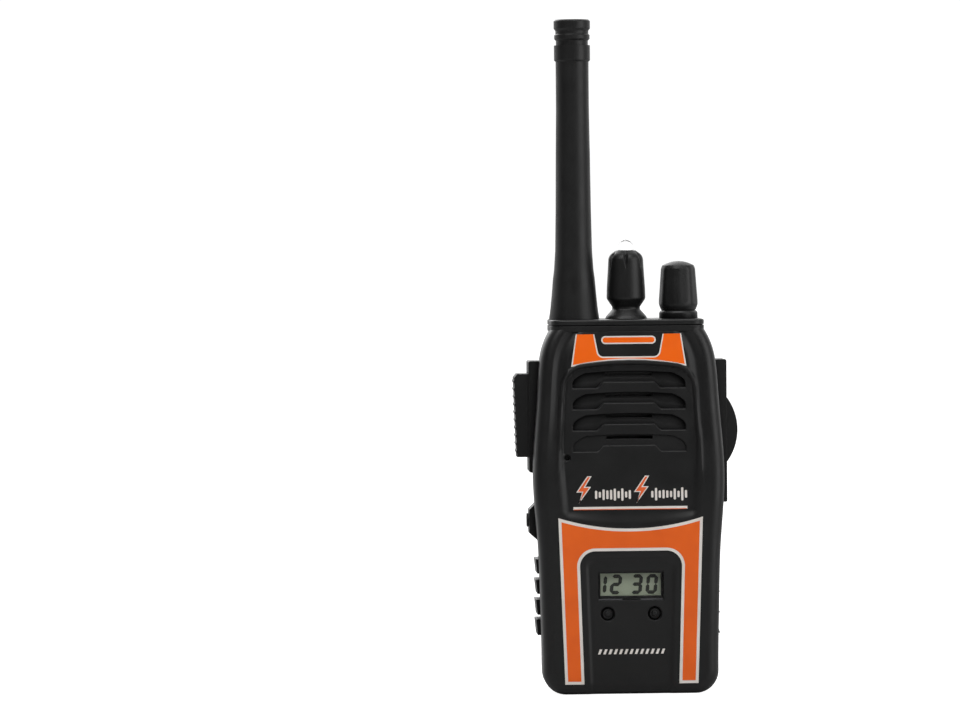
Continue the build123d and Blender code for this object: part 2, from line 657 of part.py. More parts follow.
def speaker_magnet():
    back_y = SPEAKER_FRONT_Y + SPEAKER_DEPTH
    return rod_y(0, SPEAKER_Z, 9.0, back_y - 2.8, back_y)


def speaker_cloth():
    return rod_y(0, SPEAKER_Z, SPEAKER_R, SPEAKER_FRONT_Y - 0.4, SPEAKER_FRONT_Y)


def speaker_leads():
    leads = []
    end_z = 75.0
    for x, z in ((12.6, SPEAKER_Z - 1.7), (11.0, SPEAKER_Z + 1.7)):
        leads.append(tube([(x, -3.2, z), (x, -1.1, z), (x, -1.1, end_z), (x, BOARD_Y[0], end_z)], 0.45, 1.0))
    return leads


def microphone():
    return rod_y(MIC_X, MIC_Z, 3.0, -12.3, -9.9)


def microphone_leads():
    leads = []
    end_z = MIC_Z + 2.4
    for x in (MIC_X - 0.9, MIC_X + 0.9):
        route = [(x, -9.9, MIC_Z), (x, -6.0, MIC_Z), (x, -3.0, end_z), (x, BOARD_Y[0], end_z)]
        leads.append(tube(route, 0.4, 2.0))
    return leads


# Screws

def screw(x, z, shank_r, head_r, tip_y, seat_y, head_height):
    """A screw that goes in from behind, with a cross recess in its head."""
    solid = rod_y(x, z, shank_r, tip_y, seat_y) + rod_y(x, z, head_r, seat_y, seat_y + head_height)
    arm = 1.25 * head_r
    recess = Box(arm, 1.2, 0.5) + Box(0.5, 1.2, arm)
    return solid - Pos(x, seat_y + head_height, z) * recess


def screws(places, *sizes):
    return [screw(x, z, *sizes) for x, z in places]


def inner_screws():
    """The small screws that hold the speaker and both boards."""
    speaker = screws(SPEAKER_POSTS, 0.85, 3.4, SPEAKER_FRONT_Y, SPEAKER_FRONT_Y + 1.2, 1.2)
    board = screws(BOARD_POSTS, 0.9, 2.0, BOARD_Y[0] - 4.0, BOARD_Y[1], 1.3)
    clock = screws(CLOCK_POSTS, 0.85, 1.7, CLOCK_BOARD_Y[0] - 2.6, CLOCK_BOARD_Y[1], 1.1)
    return group(speaker + board + clock)


# Main board

def main_board():
    """The board, with its lower corners cut back and a leg down to the torch switch."""
    low, high = BOARD_Z
    outline = Polyline(
        (-22.0, 72.0), (-22.0, high), (22.0, high), (22.0, 72.0), (20.2, 72.0), (20.2, low), (-16.2, low),
        (-16.2, 50.5), (-20.2, 50.5), (-20.2, 72.0), close=True,
    )
    board = slab(make_face(outline), *BOARD_Y)
    for x, z in BOARD_POSTS:
        board -= rod_y(x, z, 0.9, *BOARD_Y)
    return board


def radio_chip():
    """A dual in-line chip with its two rows of legs."""
    back = BOARD_Y[1]
    chip = block((-5.2, 1.2), (back + 0.8, back + 4.0), (78.0, 97.0))
    for i in range(7):
        z = 79.9 + 2.54 * i
        chip += block((-6.2, 2.2), (back, back + 2.0), (z - 0.25, z + 0.25))
    return chip


def tuning_coils():
    back = BOARD_Y[1]
    coils = []
    for x, z in ((-11.6, 97.2), (10.6, 97.2), (10.6, 86.5)):
        can = block((x - 3.5, x + 3.5), (back, back + 9.0), (z - 3.5, z + 3.5))
        coils.append(can - rod_y(x, z, 1.9, back + 7.6, back + 9.0))
    return group(coils)


def capacitors():
    back = BOARD_Y[1]
    cans = []
    for x, z, r, height in ((-12.0, 75.0, 3.1, 9.5), (12.0, 76.5, 2.5, 8.0), (0.0, 73.2, 2.5, 8.0)):
        can = rod_y(x, z, r, back, back + height)
        cans.append(fillet(can.edges().group_by(Axis.Y)[-1], 0.5))
    return group(cans)


def crystal():
    can = block((-13.4, -8.8), (BOARD_Y[1], BOARD_Y[1] + 3.4), (80.4, 90.6))
    return fillet(can.edges().filter_by(Axis.Y), 2.0)


# Clock

def clock_window():
    face = Pos(0, WINDOW_Z) * RectangleRounded(WINDOW_SIZE[0] - 0.1, WINDOW_SIZE[1] - 0.1, 0.75)
    return slab(face, FRONT_Y + 0.6, FRONT_Y + 1.8)


def clock_display():
    return block((-DISPLAY_X, DISPLAY_X), DISPLAY_Y, DISPLAY_Z)


def display_frame():
    """The frame that holds the display against the case."""
    y = (DISPLAY_Y[0], CLOCK_BOARD_Y[0])
    outer = block((-DISPLAY_X - 1.1, DISPLAY_X + 1.1), y, (DISPLAY_Z[0] - 0.8, DISPLAY_Z[1] + 1.3))
    return outer - block((-DISPLAY_X - 0.05, DISPLAY_X + 0.05), y, (DISPLAY_Z[0] - 0.05, DISPLAY_Z[1] + 0.05))


def contact_strip():
    """The rubber strip that joins the display to the clock board."""
    return block((-11.0, 11.0), (DISPLAY_Y[1], CLOCK_BOARD_Y[0]), (DISPLAY_Z[1] - 1.8, DISPLAY_Z[1] - 0.1))


def clock_board():
    board = block((-CLOCK_PLATE_X, CLOCK_PLATE_X), CLOCK_BOARD_Y, CLOCK_PLATE_Z)
    for x, z in CLOCK_POSTS:
        board -= rod_y(x, z, 0.85, *CLOCK_BOARD_Y)
    return board


def clock_contacts():
    """The two domes that the clock buttons press, and the strap over the cell."""
    front = CLOCK_BOARD_Y[0]
    domes = [rod_y(x, CLOCK_BUTTON_Z, 2.0, front - 0.3, front) for x in (-CLOCK_BUTTON_X, CLOCK_BUTTON_X)]
    return group([*domes, cell_strap()])


def clock_chip():
    """The round blob of resin over the clock's chip."""
    blob = rod_y(0, 23.0, 3.6, CLOCK_BOARD_Y[1], CLOCK_BOARD_Y[1] + 1.3)
    return fillet(blob.edges().group_by(Axis.Y)[-1], 1.0)


def clock_cell():
    return rod_y(0, 34.0, 3.95, CLOCK_BOARD_Y[1], CLOCK_BOARD_Y[1] + 3.5)


def cell_strap():
    """The metal strap over the clock's cell."""
    low, high = CLOCK_BOARD_Y[1], CLOCK_BOARD_Y[1] + 3.5
    z = (32.4, 35.6)
    strap = block((-5.6, 5.6), (high, high + 0.4), z)
    return strap + block((-5.6, -5.2), (low, high + 0.4), z) + block((5.2, 5.6), (low, high + 0.4), z)


def clock_button(x):
    cap = rod_y(x, CLOCK_BUTTON_Z, CLOCK_BUTTON_R, FRONT_Y + 0.5, -12.5)
    cap += rod_y(x, CLOCK_BUTTON_Z, 2.3, -13.4, -12.4)
    return cap + rod_y(x, CLOCK_BUTTON_Z, 1.2, -12.5, -11.0)


# Battery, door and belt clip

def battery():
    """A 9 V block with its two terminals on top."""
    width, depth, height = BATTERY_SIZE
    body = Pos(0, BATTERY_Y, BATTERY_BASE_Z + height / 2) * Box(width, depth, height)
    body = fillet(body.edges().filter_by(Axis.Z), 1.6)
    top_z = BATTERY_BASE_Z + height
    body += rod_z(-TERMINAL_X, BATTERY_Y, 2.9, top_z, top_z + TERMINAL_HEIGHT)
    return body + rod_z(TERMINAL_X, BATTERY_Y, 4.2, top_z, top_z + TERMINAL_HEIGHT)


def battery_snap():
    """The clip-on connector, with a ring round the smaller terminal."""
    plate = block((-12.8, 12.8), (BATTERY_Y - 6.2, BATTERY_Y + 6.2), SNAP_Z)
    ring_z = (SNAP_Z[0] - 1.6, SNAP_Z[0])
    ring = rod_z(-TERMINAL_X, BATTERY_Y, 4.3, *ring_z) - rod_z(-TERMINAL_X, BATTERY_Y, 3.0, *ring_z)
    return plate + ring


def battery_lead(x):
    return tube([(x, LEAD_Y, SNAP_Z[1]), (x, LEAD_Y, 67.4), (x, BOARD_Y[1], 67.4)], 0.7, 2.8)


def battery_door():
    """The flat cover over the battery, with a thumb recess and ridges."""
    gap = DOOR_GAP
    door = block((-DOOR_X + gap, DOOR_X - gap), (DOOR_Y, REAR_Y), (DOOR_Z[0] + gap, DOOR_Z[1] - gap))
    for i in range(5):
        z = 50.0 + 1.8 * i
        door -= block((-7.0, 7.0), (REAR_Y - 0.5, REAR_Y + 1), (z - 0.45, z + 0.45))
    door -= rod_y(0, DOOR_SCREW_Z, DOOR_SCREW_R, DOOR_Y, REAR_Y)
    return door - rod_y(0, DOOR_SCREW_Z, 1.9, DOOR_Y + 0.8, REAR_Y)


def clip_bracket():
    """The plate on the back with two ears for the clip's pin."""
    y = (REAR_Y, REAR_Y + BRACKET_THICKNESS)
    bracket = block((-EAR_X[1], EAR_X[1]), y, BRACKET_Z)
    ear = block(EAR_X, (REAR_Y, CLIP_AXIS_Y), (CLIP_AXIS_Z - 3.2, CLIP_AXIS_Z + 3.2))
    ear += rod_x(CLIP_AXIS_Y, CLIP_AXIS_Z, 3.2, *EAR_X)
    bracket += ear + mirror(ear, Plane.YZ)
    bracket -= rod_x(CLIP_AXIS_Y, CLIP_AXIS_Z, PIN_R, -EAR_X[1], EAR_X[1])
    for x, z in BRACKET_SCREWS:
        bracket -= rod_y(x, z, 0.9, *y)
    return bracket


def belt_clip():
    """The sprung tongue: knuckles on the pin, a thumb end above and a hooked end below."""
    outer = CLIP_Y[1]
    outline = Polyline(
        (CLIP_Y[0], CLIP_Z[1]), (outer, CLIP_Z[1]), (outer, CLIP_Z[0] + 2.4), (outer - 2.4, CLIP_Z[0]),
        (REAR_Y + 0.6, CLIP_Z[0]), (REAR_Y + 0.6, CLIP_Z[0] + 1.6), (CLIP_Y[0], CLIP_Z[0] + 5.0), close=True,
    )
    clip = extrude(Plane.YZ * make_face(outline), amount=CLIP_X, both=True)
    clip = fillet(clip.edges().filter_by(Axis.Y).group_by(Axis.Z)[-1], 3.0)
    for side in (-1, 1):
        x = sorted((KNUCKLE_INNER_X * side, CLIP_X * side))
        clip += rod_x(CLIP_AXIS_Y, CLIP_AXIS_Z, KNUCKLE_R, *x)
    clip -= rod_x(CLIP_AXIS_Y, CLIP_AXIS_Z, KNUCKLE_R + 0.1, -KNUCKLE_INNER_X, KNUCKLE_INNER_X)
    return clip - rod_x(CLIP_AXIS_Y, CLIP_AXIS_Z, PIN_R + RUNNING_GAP, -CLIP_X, CLIP_X)


def clip_pin():
    return rod_x(CLIP_AXIS_Y, CLIP_AXIS_Z, PIN_R, -EAR_X[1], EAR_X[1])


def clip_spring():
    """The torsion spring on the pin: seven turns and two straight legs."""
    wire_r = 0.4
    turn_r = PIN_R + wire_r + 0.15
    turns = []
    for i in range(7):
        x = -3.0 + i * 1.0
        turns.append(Pos(x, CLIP_AXIS_Y, CLIP_AXIS_Z) * Rot(0, 90, 0) * Torus(turn_r, wire_r))
    core = rod_x(CLIP_AXIS_Y, CLIP_AXIS_Z, turn_r + 0.2, -3.2, 3.2)
    core -= rod_x(CLIP_AXIS_Y, CLIP_AXIS_Z, turn_r - 0.2, -3.2, 3.2)
    for turn in turns:
        core += turn
    back_leg = rod_z(-3.0, CLIP_AXIS_Y - turn_r, wire_r, 91.0, CLIP_AXIS_Z)
    clip_leg = rod_z(3.0, CLIP_AXIS_Y, wire_r, 91.0, CLIP_AXIS_Z - turn_r)
    return core + back_leg + clip_leg


# Stickers and printed marks

def upper_labels():
    """The sticker under the top cap and the pill inside its notch."""
    pill = Pos(0, 114.3) * SlotOverall(17.6, 2.6)
    return group([skin(face, -LABEL_THICKNESS, 0) for face in (upper_label_face(), pill)])


def lower_label():
    return skin(lower_label_face(), -LABEL_THICKNESS, 0)


def panel_print(face, recess):
    return skin(face, recess - PRINT_THICKNESS, recess)


def wave_marks():
    """A row of bars like a sound wave, printed under the grille."""
    marks = []
    for i in range(WAVE_BARS):
        part = i / (WAVE_BARS - 1)
        x = WAVE_X[0] + (WAVE_X[1] - WAVE_X[0]) * part
        swell = 0.45 + 0.55 * abs(math.sin(2.5 * math.pi * part))
        height = 1.2 + 3.2 * swell * (0.65 + 0.35 * math.cos(9.0 * i))
        if min(abs(x - bolt_x) for bolt_x in BOLT_XS) > 2.6:
            bar = Pos(x, WAVE_Z - 0.6) * RectangleRounded(0.72, height, 0.3)
            marks.append(panel_print(bar, PANEL_RECESS))
    return marks


def bolt_marks():
    """Two lightning bolts that stand taller than the wave."""
    marks = []
    for x in BOLT_XS:
        bolt = [
            (x + 1.2, 70.6), (x - 2.4, 65.4), (x - 0.5, 65.4), (x - 1.6, 61.8),
            (x + 2.4, 67.2), (x + 0.5, 67.2), (x + 2.6, 70.6),
        ]
        marks.append(panel_print(make_face(Polyline(*bolt, close=True)), PANEL_RECESS))
    return group(marks)


def rule_mark():
    return panel_print(Pos(0, RULE_Z) * Rectangle(36.8, 0.9), PANEL_RECESS)


def small_marks():
    """A row of short slanted dashes low on the clock panel."""
    marks = []
    pitch = 22.0 / SMALL_MARK_BARS
    for i in range(SMALL_MARK_BARS):
        x = -11.0 + pitch * (i + 0.5)
        dash = Polyline(
            (x - 0.7, SMALL_MARK_Z - 0.8), (x + 0.1, SMALL_MARK_Z - 0.8), (x + 0.7, SMALL_MARK_Z + 0.8),
            (x - 0.1, SMALL_MARK_Z + 0.8), close=True,
        )
        marks.append(panel_print(make_face(dash), CLOCK_PANEL_RECESS))
    return marks


def build():
    save("front_shell", front_shell())
    save("rear_shell", rear_shell())
    save("top_cap", top_cap())
    save("antenna_sleeve", antenna_sleeve())
    save("antenna_tip", antenna_tip())
    save("antenna_wire", rod_z(ANTENNA_X, KNOB_Y, 1.0, 126.5, 203.0))
    save("antenna_screw", antenna_screw())
    save("torch_knob", torch_knob())
    save("torch_led", torch_led())
    save("volume_knob", volume_knob())
    save("volume_shaft", volume_shaft())
    save("volume_pot", volume_pot())
    save("talk_button", talk_button())
    save("talk_plunger", plunger(sum(TALK_Z) / 2, -1, 1.4, 23.8))
    save("talk_switch", side_switch(sum(TALK_Z) / 2, 7.0, -1, 1.5))
    save("call_button", call_button())
    save("call_plunger", plunger(sum(CALL_Z) / 2, 1, 1.4, 23.8))
    save("call_switch", side_switch(sum(CALL_Z) / 2, 7.0, 1, 1.5))
    save("torch_button", torch_button())
    save("torch_plunger", plunger(TORCH_BUTTON_Z, -1, 1.0, 24.8))
    save("torch_switch", side_switch(TORCH_BUTTON_Z, 6.0, -1, 1.1))
    save("speaker_frame", speaker_frame())
    save("speaker_cone", speaker_cone())
    save("speaker_magnet", speaker_magnet())
    save("speaker_cloth", speaker_cloth())
    save("microphone", microphone())
    save("inner_leads", group(antenna_leads() + torch_leads() + speaker_leads() + microphone_leads()))
    save("inner_screws", inner_screws())
    save("main_board", main_board())
    save("radio_chip", radio_chip())
    save("tuning_coils", tuning_coils())
    save("capacitors", capacitors())
    save("crystal", crystal())
    save("clock_window", clock_window())
    save("clock_display", clock_display())
    save("display_frame", display_frame())
    save("contact_strip", contact_strip())
    save("clock_board", clock_board())
    save("clock_contacts", clock_contacts())
    save("clock_chip", clock_chip())
    save("clock_cell", clock_cell())
    save("mode_button", clock_button(-CLOCK_BUTTON_X))
    save("set_button", clock_button(CLOCK_BUTTON_X))
    save("battery", battery())
    save("battery_snap", battery_snap())
    save("battery_lead_red", battery_lead(LEAD_X))
    save("battery_lead_black", battery_lead(-LEAD_X))
    save("battery_door", battery_door())
    save("door_screw", screw(0, DOOR_SCREW_Z, DOOR_SCREW_R, 1.8, 10.0, DOOR_Y + 0.8, 0.9))
    save("case_screws", group(screws(CASE_SCREWS, SCREW_R, SCREW_HEAD_R, -11.0, 6.0, 1.8)))
    save("clip_bracket", clip_bracket())
    bracket_seat_y = REAR_Y + BRACKET_THICKNESS
    save("bracket_screws", group(screws(BRACKET_SCREWS, 0.9, 1.9, REAR_Y - 3.6, bracket_seat_y, 1.0)))
    save("clip_pin", clip_pin())
    save("clip_spring", clip_spring())
    save("belt_clip", belt_clip())
    save("upper_labels", upper_labels())
    save("lower_label", lower_label())
    save("white_marks", group(wave_marks() + [rule_mark()] + small_marks()))
    save("bolt_marks", bolt_marks())


os.makedirs("parts", exist_ok=True)
build()
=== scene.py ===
import json
import math

import bmesh
import bpy
import numpy as np
from mathutils import Matrix, Vector


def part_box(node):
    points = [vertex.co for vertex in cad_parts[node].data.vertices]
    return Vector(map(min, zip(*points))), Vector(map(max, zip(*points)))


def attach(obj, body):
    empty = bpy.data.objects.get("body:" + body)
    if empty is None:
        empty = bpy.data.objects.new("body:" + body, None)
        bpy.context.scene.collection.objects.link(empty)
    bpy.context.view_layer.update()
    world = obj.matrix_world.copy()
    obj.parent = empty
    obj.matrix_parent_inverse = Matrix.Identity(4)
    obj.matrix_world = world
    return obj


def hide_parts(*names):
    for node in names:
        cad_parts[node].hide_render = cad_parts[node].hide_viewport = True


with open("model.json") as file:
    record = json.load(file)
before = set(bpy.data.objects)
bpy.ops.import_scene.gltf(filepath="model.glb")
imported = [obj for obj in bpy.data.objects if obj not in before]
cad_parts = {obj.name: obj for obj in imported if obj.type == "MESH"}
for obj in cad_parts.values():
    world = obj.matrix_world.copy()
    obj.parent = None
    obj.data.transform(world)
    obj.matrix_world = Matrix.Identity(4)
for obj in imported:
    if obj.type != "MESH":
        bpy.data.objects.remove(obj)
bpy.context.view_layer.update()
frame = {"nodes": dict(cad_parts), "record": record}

# A toy walkie talkie. Lengths are in millimetres here, and make_piece turns them into metres.
MM = 0.001
MERGE_DISTANCE = 1e-6
SHARP_ANGLE = math.radians(32.0)

# Front shell, seen from the front
SIDE_STATIONS = [(28.4, 7.4), (28.8, 30.0), (29.4, 48.0), (30.8, 70.0), (29.3, 95.0), (28.4, 107.0)]
SHOULDER_STATIONS = [(28.4, 107.0), (25.0, 117.0)]
FLANK_END_SLOPE = -0.12
SHOULDER_END_SLOPE = -0.62
CORNER_R = 7.4
EDGE_ROUND = 4.0
FRONT_Y = -16.5
PARTING_Y = -5.0
PARTING_CHAMFER = 0.3
CASE_TOP_Z = 117.0
LEAN_START_Z = 62.0
LEAN_SLOPE = 3.5 / 55.0
LEAN_SOFTNESS = 2.0
FRONT_WALL = 3.0
SIDE_WALL = 2.6

# Relief on the front
FLUTE_MIDDLE = 6.3
FLUTE_HALF_WIDTH = 3.1
FLUTE_DEPTH = 1.05
FLUTE_FADE_Z = (66.0, 100.0)
PANEL_RECESS = 0.9
PANEL_TOP_Z = 106.5
PANEL_TOP_DROP = 1.4
PANEL_TOP_HALF_WIDTH = 17.2
PANEL_TOP_POWER = 2.2
PANEL_BOTTOM_Z = 53.9
PANEL_BOTTOM_RISE = 3.2
PANEL_BOTTOM_HALF_WIDTH = 21.0
PANEL_SIDE = [(22.1, 58.0), (22.3, 71.0), (21.6, 87.0), (20.5, 104.0)]
PANEL_SIDE_SLOPES = (0.05, -0.08)
PANEL_EDGE_START = -0.3
PANEL_EDGE_END = 0.55
PANEL_EDGE_EXTRA = 2.2
PANEL_EDGE_FADE_Z = (58.0, 84.0)
PANEL_CORNER_R = 5.0
PANEL_FLAT_Z = 59.7
RIDGE_MIDDLE = 0.85
RIDGE_HEIGHT = 0.35
RIDGE_FADE_Z = (60.0, 80.0)
CLOCK_PANEL_RECESS = 0.5
CLOCK_PANEL_FOOT = (13.0, 2.2)
CLOCK_PANEL_SLOPE = 1.4 / 42.2
CLOCK_PANEL_TOP_Z = 44.4
CLOCK_PANEL_CORNER_R = 3.6
CLOCK_PANEL_EDGE = (-0.5, 0.9)
SLOT_BOTTOMS = [78.4, 85.2, 92.0, 98.8]
SLOT_DEPTHS = [0.4, 1.3, 1.6, 1.6]
SLOT_END_X = 18.2
SLOT_END_HEIGHT = 1.6
SLOT_END_RISE = 3.33
SLOT_END_RUN = 4.2
SLOT_ARCH_HEIGHT = 5.5
SLOT_ARCH_SAG = 0.57
SLOT_ARCH_END_X = 14.0
SLOT_STEP_RISE = 2.0
SLOT_STEP_RUN = 2.0
SLOT_STEP_END_X = 10.4
SLIT_END_X = 7.5
CHAMFER = 0.2
SLANT_LIP = 0.4
SLANT_MIDDLE_X = 9.4
SLANT_REACH = 1.2
WALL_LEAN = 0.03
WINDOW_X = 10.6
WINDOW_Z = (30.5, 39.7)
CLOCK_BUTTON_X = 7.6
CLOCK_BUTTON_Z = 26.2
MIC_PLACE = (-20.1, 76.6)

# The profiles of the round holes, as (radius, depth), and the reach of the cells that each one takes
BUTTON_HOLE = [(2.45, 0.0), (2.25, 0.25), (2.2, 1.2), (1.8, 1.25), (1.75, 1.45), (1.75, 2.5)]
BUTTON_HOLE_REACH = 3.0
MIC_HOLE = [(1.1, 0.0), (0.95, 0.2), (0.95, 2.0)]
MIC_HOLE_REACH = 1.5
MIC_CLOTH_R = 0.94
MIC_CLOTH_DEPTH = 1.5
MIC_CLOTH_THICKNESS = 0.3

# The front shell's mesh: columns at fixed places up to FIXED_X and in shares of the rest beyond it,
# and rows as (height to reach, count) below and above the slots, spread evenly beyond SPREAD_END_X
FIXED_X = 19.0
SPREAD_END_X = 19.8
CORNER_ROWS = 5
EDGE_STEPS = 8
LOWER_ROWS = [
    (CORNER_R, CORNER_ROWS), (WINDOW_Z[0] - CHAMFER, 32), (WINDOW_Z[0], 1), (WINDOW_Z[1], 8),
    (WINDOW_Z[1] + CHAMFER, 1), (43.4, 5), (45.4, 9), (53.8, 12), (59.6, 15),
    (SLOT_BOTTOMS[0] - CHAMFER, 34),
]
SPREAD_ROWS = (104.6, 8)
UPPER_ROWS = [(107.6, 12), (CASE_TOP_Z, 16)]

# Stickers and prints
STICKER_THICKNESS = 0.15
PRINT_THICKNESS = 0.12
LOWER_BORDER = 0.95
UPPER_BORDER = 0.45
BOLT_BORDER = 0.3
FACE_PROUD = 0.03
RULE_LINE = ((-18.2, 18.2), (59.78, 60.0))
OPEN_LABEL_SPAN = 30.0

# Knobs and buttons, with their profiles as (radius, height) and the radius at each inner corner
KNOB_Y = 0.0
VOLUME_X = 17.3
VOLUME_PATH = [(2.0, 123.55), (5.6, 123.55), (6.3, 125.2), (6.3, 126.6), (5.55, 137.0), (5.1, 138.0)]
VOLUME_ROUNDS = (0.1, 0.6, 0.5, 0.4)
DOME_R = 5.1
DOME_FOOT_Z = 138.0
DOME_RISE = 1.4
DOME_STEPS = 12
KNOB_FLUTES = 8
KNOB_FLUTE_TURN = math.radians(-77.0)
KNOB_FLUTE_DEPTH = 0.22
KNOB_FLUTE_FOOT_Z = (124.5, 126.5)
KNOB_FLUTE_HEAD_Z = (136.6, 138.6)
TORCH_X = 0.3
TORCH_PATH = [
    (2.6, 112.0), (2.6, 120.8), (6.9, 120.8), (6.5, 121.7), (4.5, 123.9), (4.5, 124.7), (6.3, 127.4),
    (6.2, 131.0), (5.75, 138.0), (5.6, 141.3), (3.2, 143.0), (2.55, 143.0), (2.55, 138.0), (0.2, 138.0),
]
TORCH_ROUNDS = (0.1, 0.1, 0.4, 0.4, 0.3, 0.5, 1.0, 1.0, 1.5, 0.3, 0.1, 0.1)
TORCH_NOTCHES = 6
TORCH_NOTCH_TURN = math.radians(86.0)
TORCH_NOTCH_DEPTH = 1.0
TORCH_NOTCH_SLOPE = 1.1
TORCH_NOTCH_FOOT_Z = 136.6
TORCH_SHOULDER_Z = 141.0
TORCH_NOTCH_HEAD_Z = 142.9
BUTTON_PATH = [
    (2.3, -12.5), (2.3, -13.4), (1.6, -13.4), (1.6, -15.5), (0.95, -15.3), (0.75, -15.9), (0.1, -15.95),
]
BUTTON_ROUNDS = (0.1, 0.1, 0.25, 0.15, 0.2)

# The clock's window
LEDGE_Y = (-14.7, -13.45)
LEDGE_OUTLINE = ((-11.4, 11.4), (29.7, 40.5))
LEDGE_OPENING = ((-9.8, 9.8), (31.85, 39.15))
STRIPS_X = ((-10.4, -2.7), (3.2, 10.4))
STRIPS_Z = (30.6, 30.9)
STRIP_THICKNESS = 0.05

# The gloss of black plastic, as a specular level, with painted shade that lowers it in crevices and a painted
# highlight that raises it on upward lips
PLASTIC_GLOSS = 0.42
CREVICE_REACH = 3.0
CREVICE_OPENNESS = (0.62, 0.92)
SHADED_CREVICE_GLOSS_SHARE = 0.1
LIP_UPWARDNESS = (0.2, 0.5)
LIP_HIGHLIGHT_GLOSS_SHARE = 1.4

# Black plastics, as (dark tone, light tone, roughness range, grain, grain depth, rounding of edges)
MOULDED = {
    "case_black": (0.004, 0.0055, (0.38, 0.46), 0.35, 0.006, 0.25),
    "trim_black": (0.0036, 0.005, (0.38, 0.46), 0.35, 0.006, 0.2),
    "button_black": (0.0034, 0.0046, (0.40, 0.50), 0.35, 0.006, 0.2),
    "antenna_black": (0.0034, 0.0046, (0.40, 0.50), 0.3, 0.004, 0.15),
}

# Coloured surfaces, as (one tone, the other tone, roughness range)
COATED = {
    "sticker_orange": ((0.79, 0.112, 0.003), (0.84, 0.125, 0.004), (0.30, 0.38)),
    # A lit copy of the sticker orange: painted brighter for the light that falls from above on the upper
    # labels
    "lit_sticker_orange": ((0.93, 0.132, 0.002), (0.98, 0.145, 0.003), (0.30, 0.38)),
    "print_white": ((0.72, 0.67, 0.62), (0.80, 0.76, 0.72), (0.35, 0.45)),
    "print_orange": ((0.75, 0.115, 0.02), (0.80, 0.135, 0.03), (0.35, 0.45)),
    "display_grey": ((0.36, 0.41, 0.30), (0.40, 0.455, 0.34), (0.35, 0.45)),
    "digit_ink": ((0.012, 0.015, 0.010), (0.016, 0.02, 0.014), (0.4, 0.5)),
    "magnet_grey": ((0.05, 0.05, 0.055), (0.07, 0.07, 0.075), (0.5, 0.65)),
    "board_green": ((0.02, 0.10, 0.04), (0.03, 0.14, 0.05), (0.25, 0.4)),
    "chip_black": ((0.012, 0.012, 0.012), (0.02, 0.02, 0.02), (0.45, 0.6)),
    "switch_blue": ((0.03, 0.06, 0.20), (0.04, 0.08, 0.26), (0.35, 0.5)),
    "frame_white": ((0.55, 0.55, 0.53), (0.62, 0.62, 0.60), (0.4, 0.55)),
    "strip_rubber": ((0.10, 0.10, 0.11), (0.16, 0.16, 0.17), (0.6, 0.8)),
    "lead_red": ((0.45, 0.015, 0.012), (0.55, 0.022, 0.018), (0.35, 0.5)),
    "lead_black": ((0.012, 0.012, 0.012), (0.02, 0.02, 0.02), (0.35, 0.5)),
    "lead_grey": ((0.16, 0.16, 0.17), (0.22, 0.22, 0.23), (0.35, 0.5)),
}
METALS = {
    "steel": ((0.45, 0.45, 0.46), (0.55, 0.55, 0.56), (0.28, 0.42)),
    "copper_wire": ((0.75, 0.32, 0.18), (0.85, 0.40, 0.22), (0.25, 0.35)),
    "can_silver": ((0.62, 0.62, 0.63), (0.72, 0.72, 0.73), (0.25, 0.4)),
    "cell_steel": ((0.66, 0.66, 0.67), (0.75, 0.75, 0.76), (0.2, 0.35)),
}
PAPER = ((0.02, 0.02, 0.02), (0.04, 0.04, 0.04), (0.8, 0.95))
JACKET_BLACK = (0.015, 0.015, 0.015, 1)
JACKET_COPPER = (0.55, 0.25, 0.08, 1)
JACKET_COPPER_START = 0.4

# The clock's display
SHOWN_TIME = "1230"
SEGMENTS = {
    "top": (0, 2, 0), "upper_left": (-1, 1, 1), "upper_right": (1, 1, 1), "middle": (0, 0, 0),
    "lower_left": (-1, -1, 1), "lower_right": (1, -1, 1), "bottom": (0, -2, 0),
}
DIGITS = {
    "0": ("top", "upper_left", "upper_right", "lower_left", "lower_right", "bottom"),
    "1": ("upper_right", "lower_right"),
    "2": ("top", "upper_right", "middle", "lower_left", "bottom"),
    "3": ("top", "upper_right", "middle", "lower_right", "bottom"),
}
DIGIT_SIZE = (3.7, 6.4)
DIGIT_STROKE = 1.15
DIGIT_PLACES = [-9.5, -4.7, 2.0, 6.9]
DIGIT_MIDDLE_Z = 35.5
DIGIT_LEAN = 0.1
DIGIT_THICKNESS = 0.03
SEGMENT_OVERLAP = 0.15

# Camera, world and lights, in metres, radians and watts
CAMERA_PLACE = (-0.1135, -1.5, 0.1567)
CAMERA_TURN = 0.0441
CAMERA_DIP = 0.0325
CAMERA_ROLL = 0.0090
CAMERA_LENS = 173.7
SENSOR_WIDTH = 36.0
WORLD_GLOW = (-0.1, 0.65, 0.015, 1.2)
BEHIND_GLOW = (0.5, 0.9, 0.15, 1.1)
BACKDROP_STRENGTH = 1.05
FLOOR_BEHIND_Y = (0.06, 0.25)
FLOOR_GLOW = 0.95
FLOOR_REACH = 6.0
LIGHT_TARGET = (0.0, 0.0, 0.1)
LIGHTS = {
    "top_light": ((0.0, -0.6, 1.1), (1.2, 1.0), 10.2),
    "right_light": ((1.0, -0.65, 0.4), (0.8, 0.9), 5.2),
    "left_light": ((-0.75, -0.75, 0.95), (0.4, 0.4), 2.3),
    "back_light": ((-0.4, 1.3, 0.9), (1.2, 0.9), 7.0),
}


# Meshes

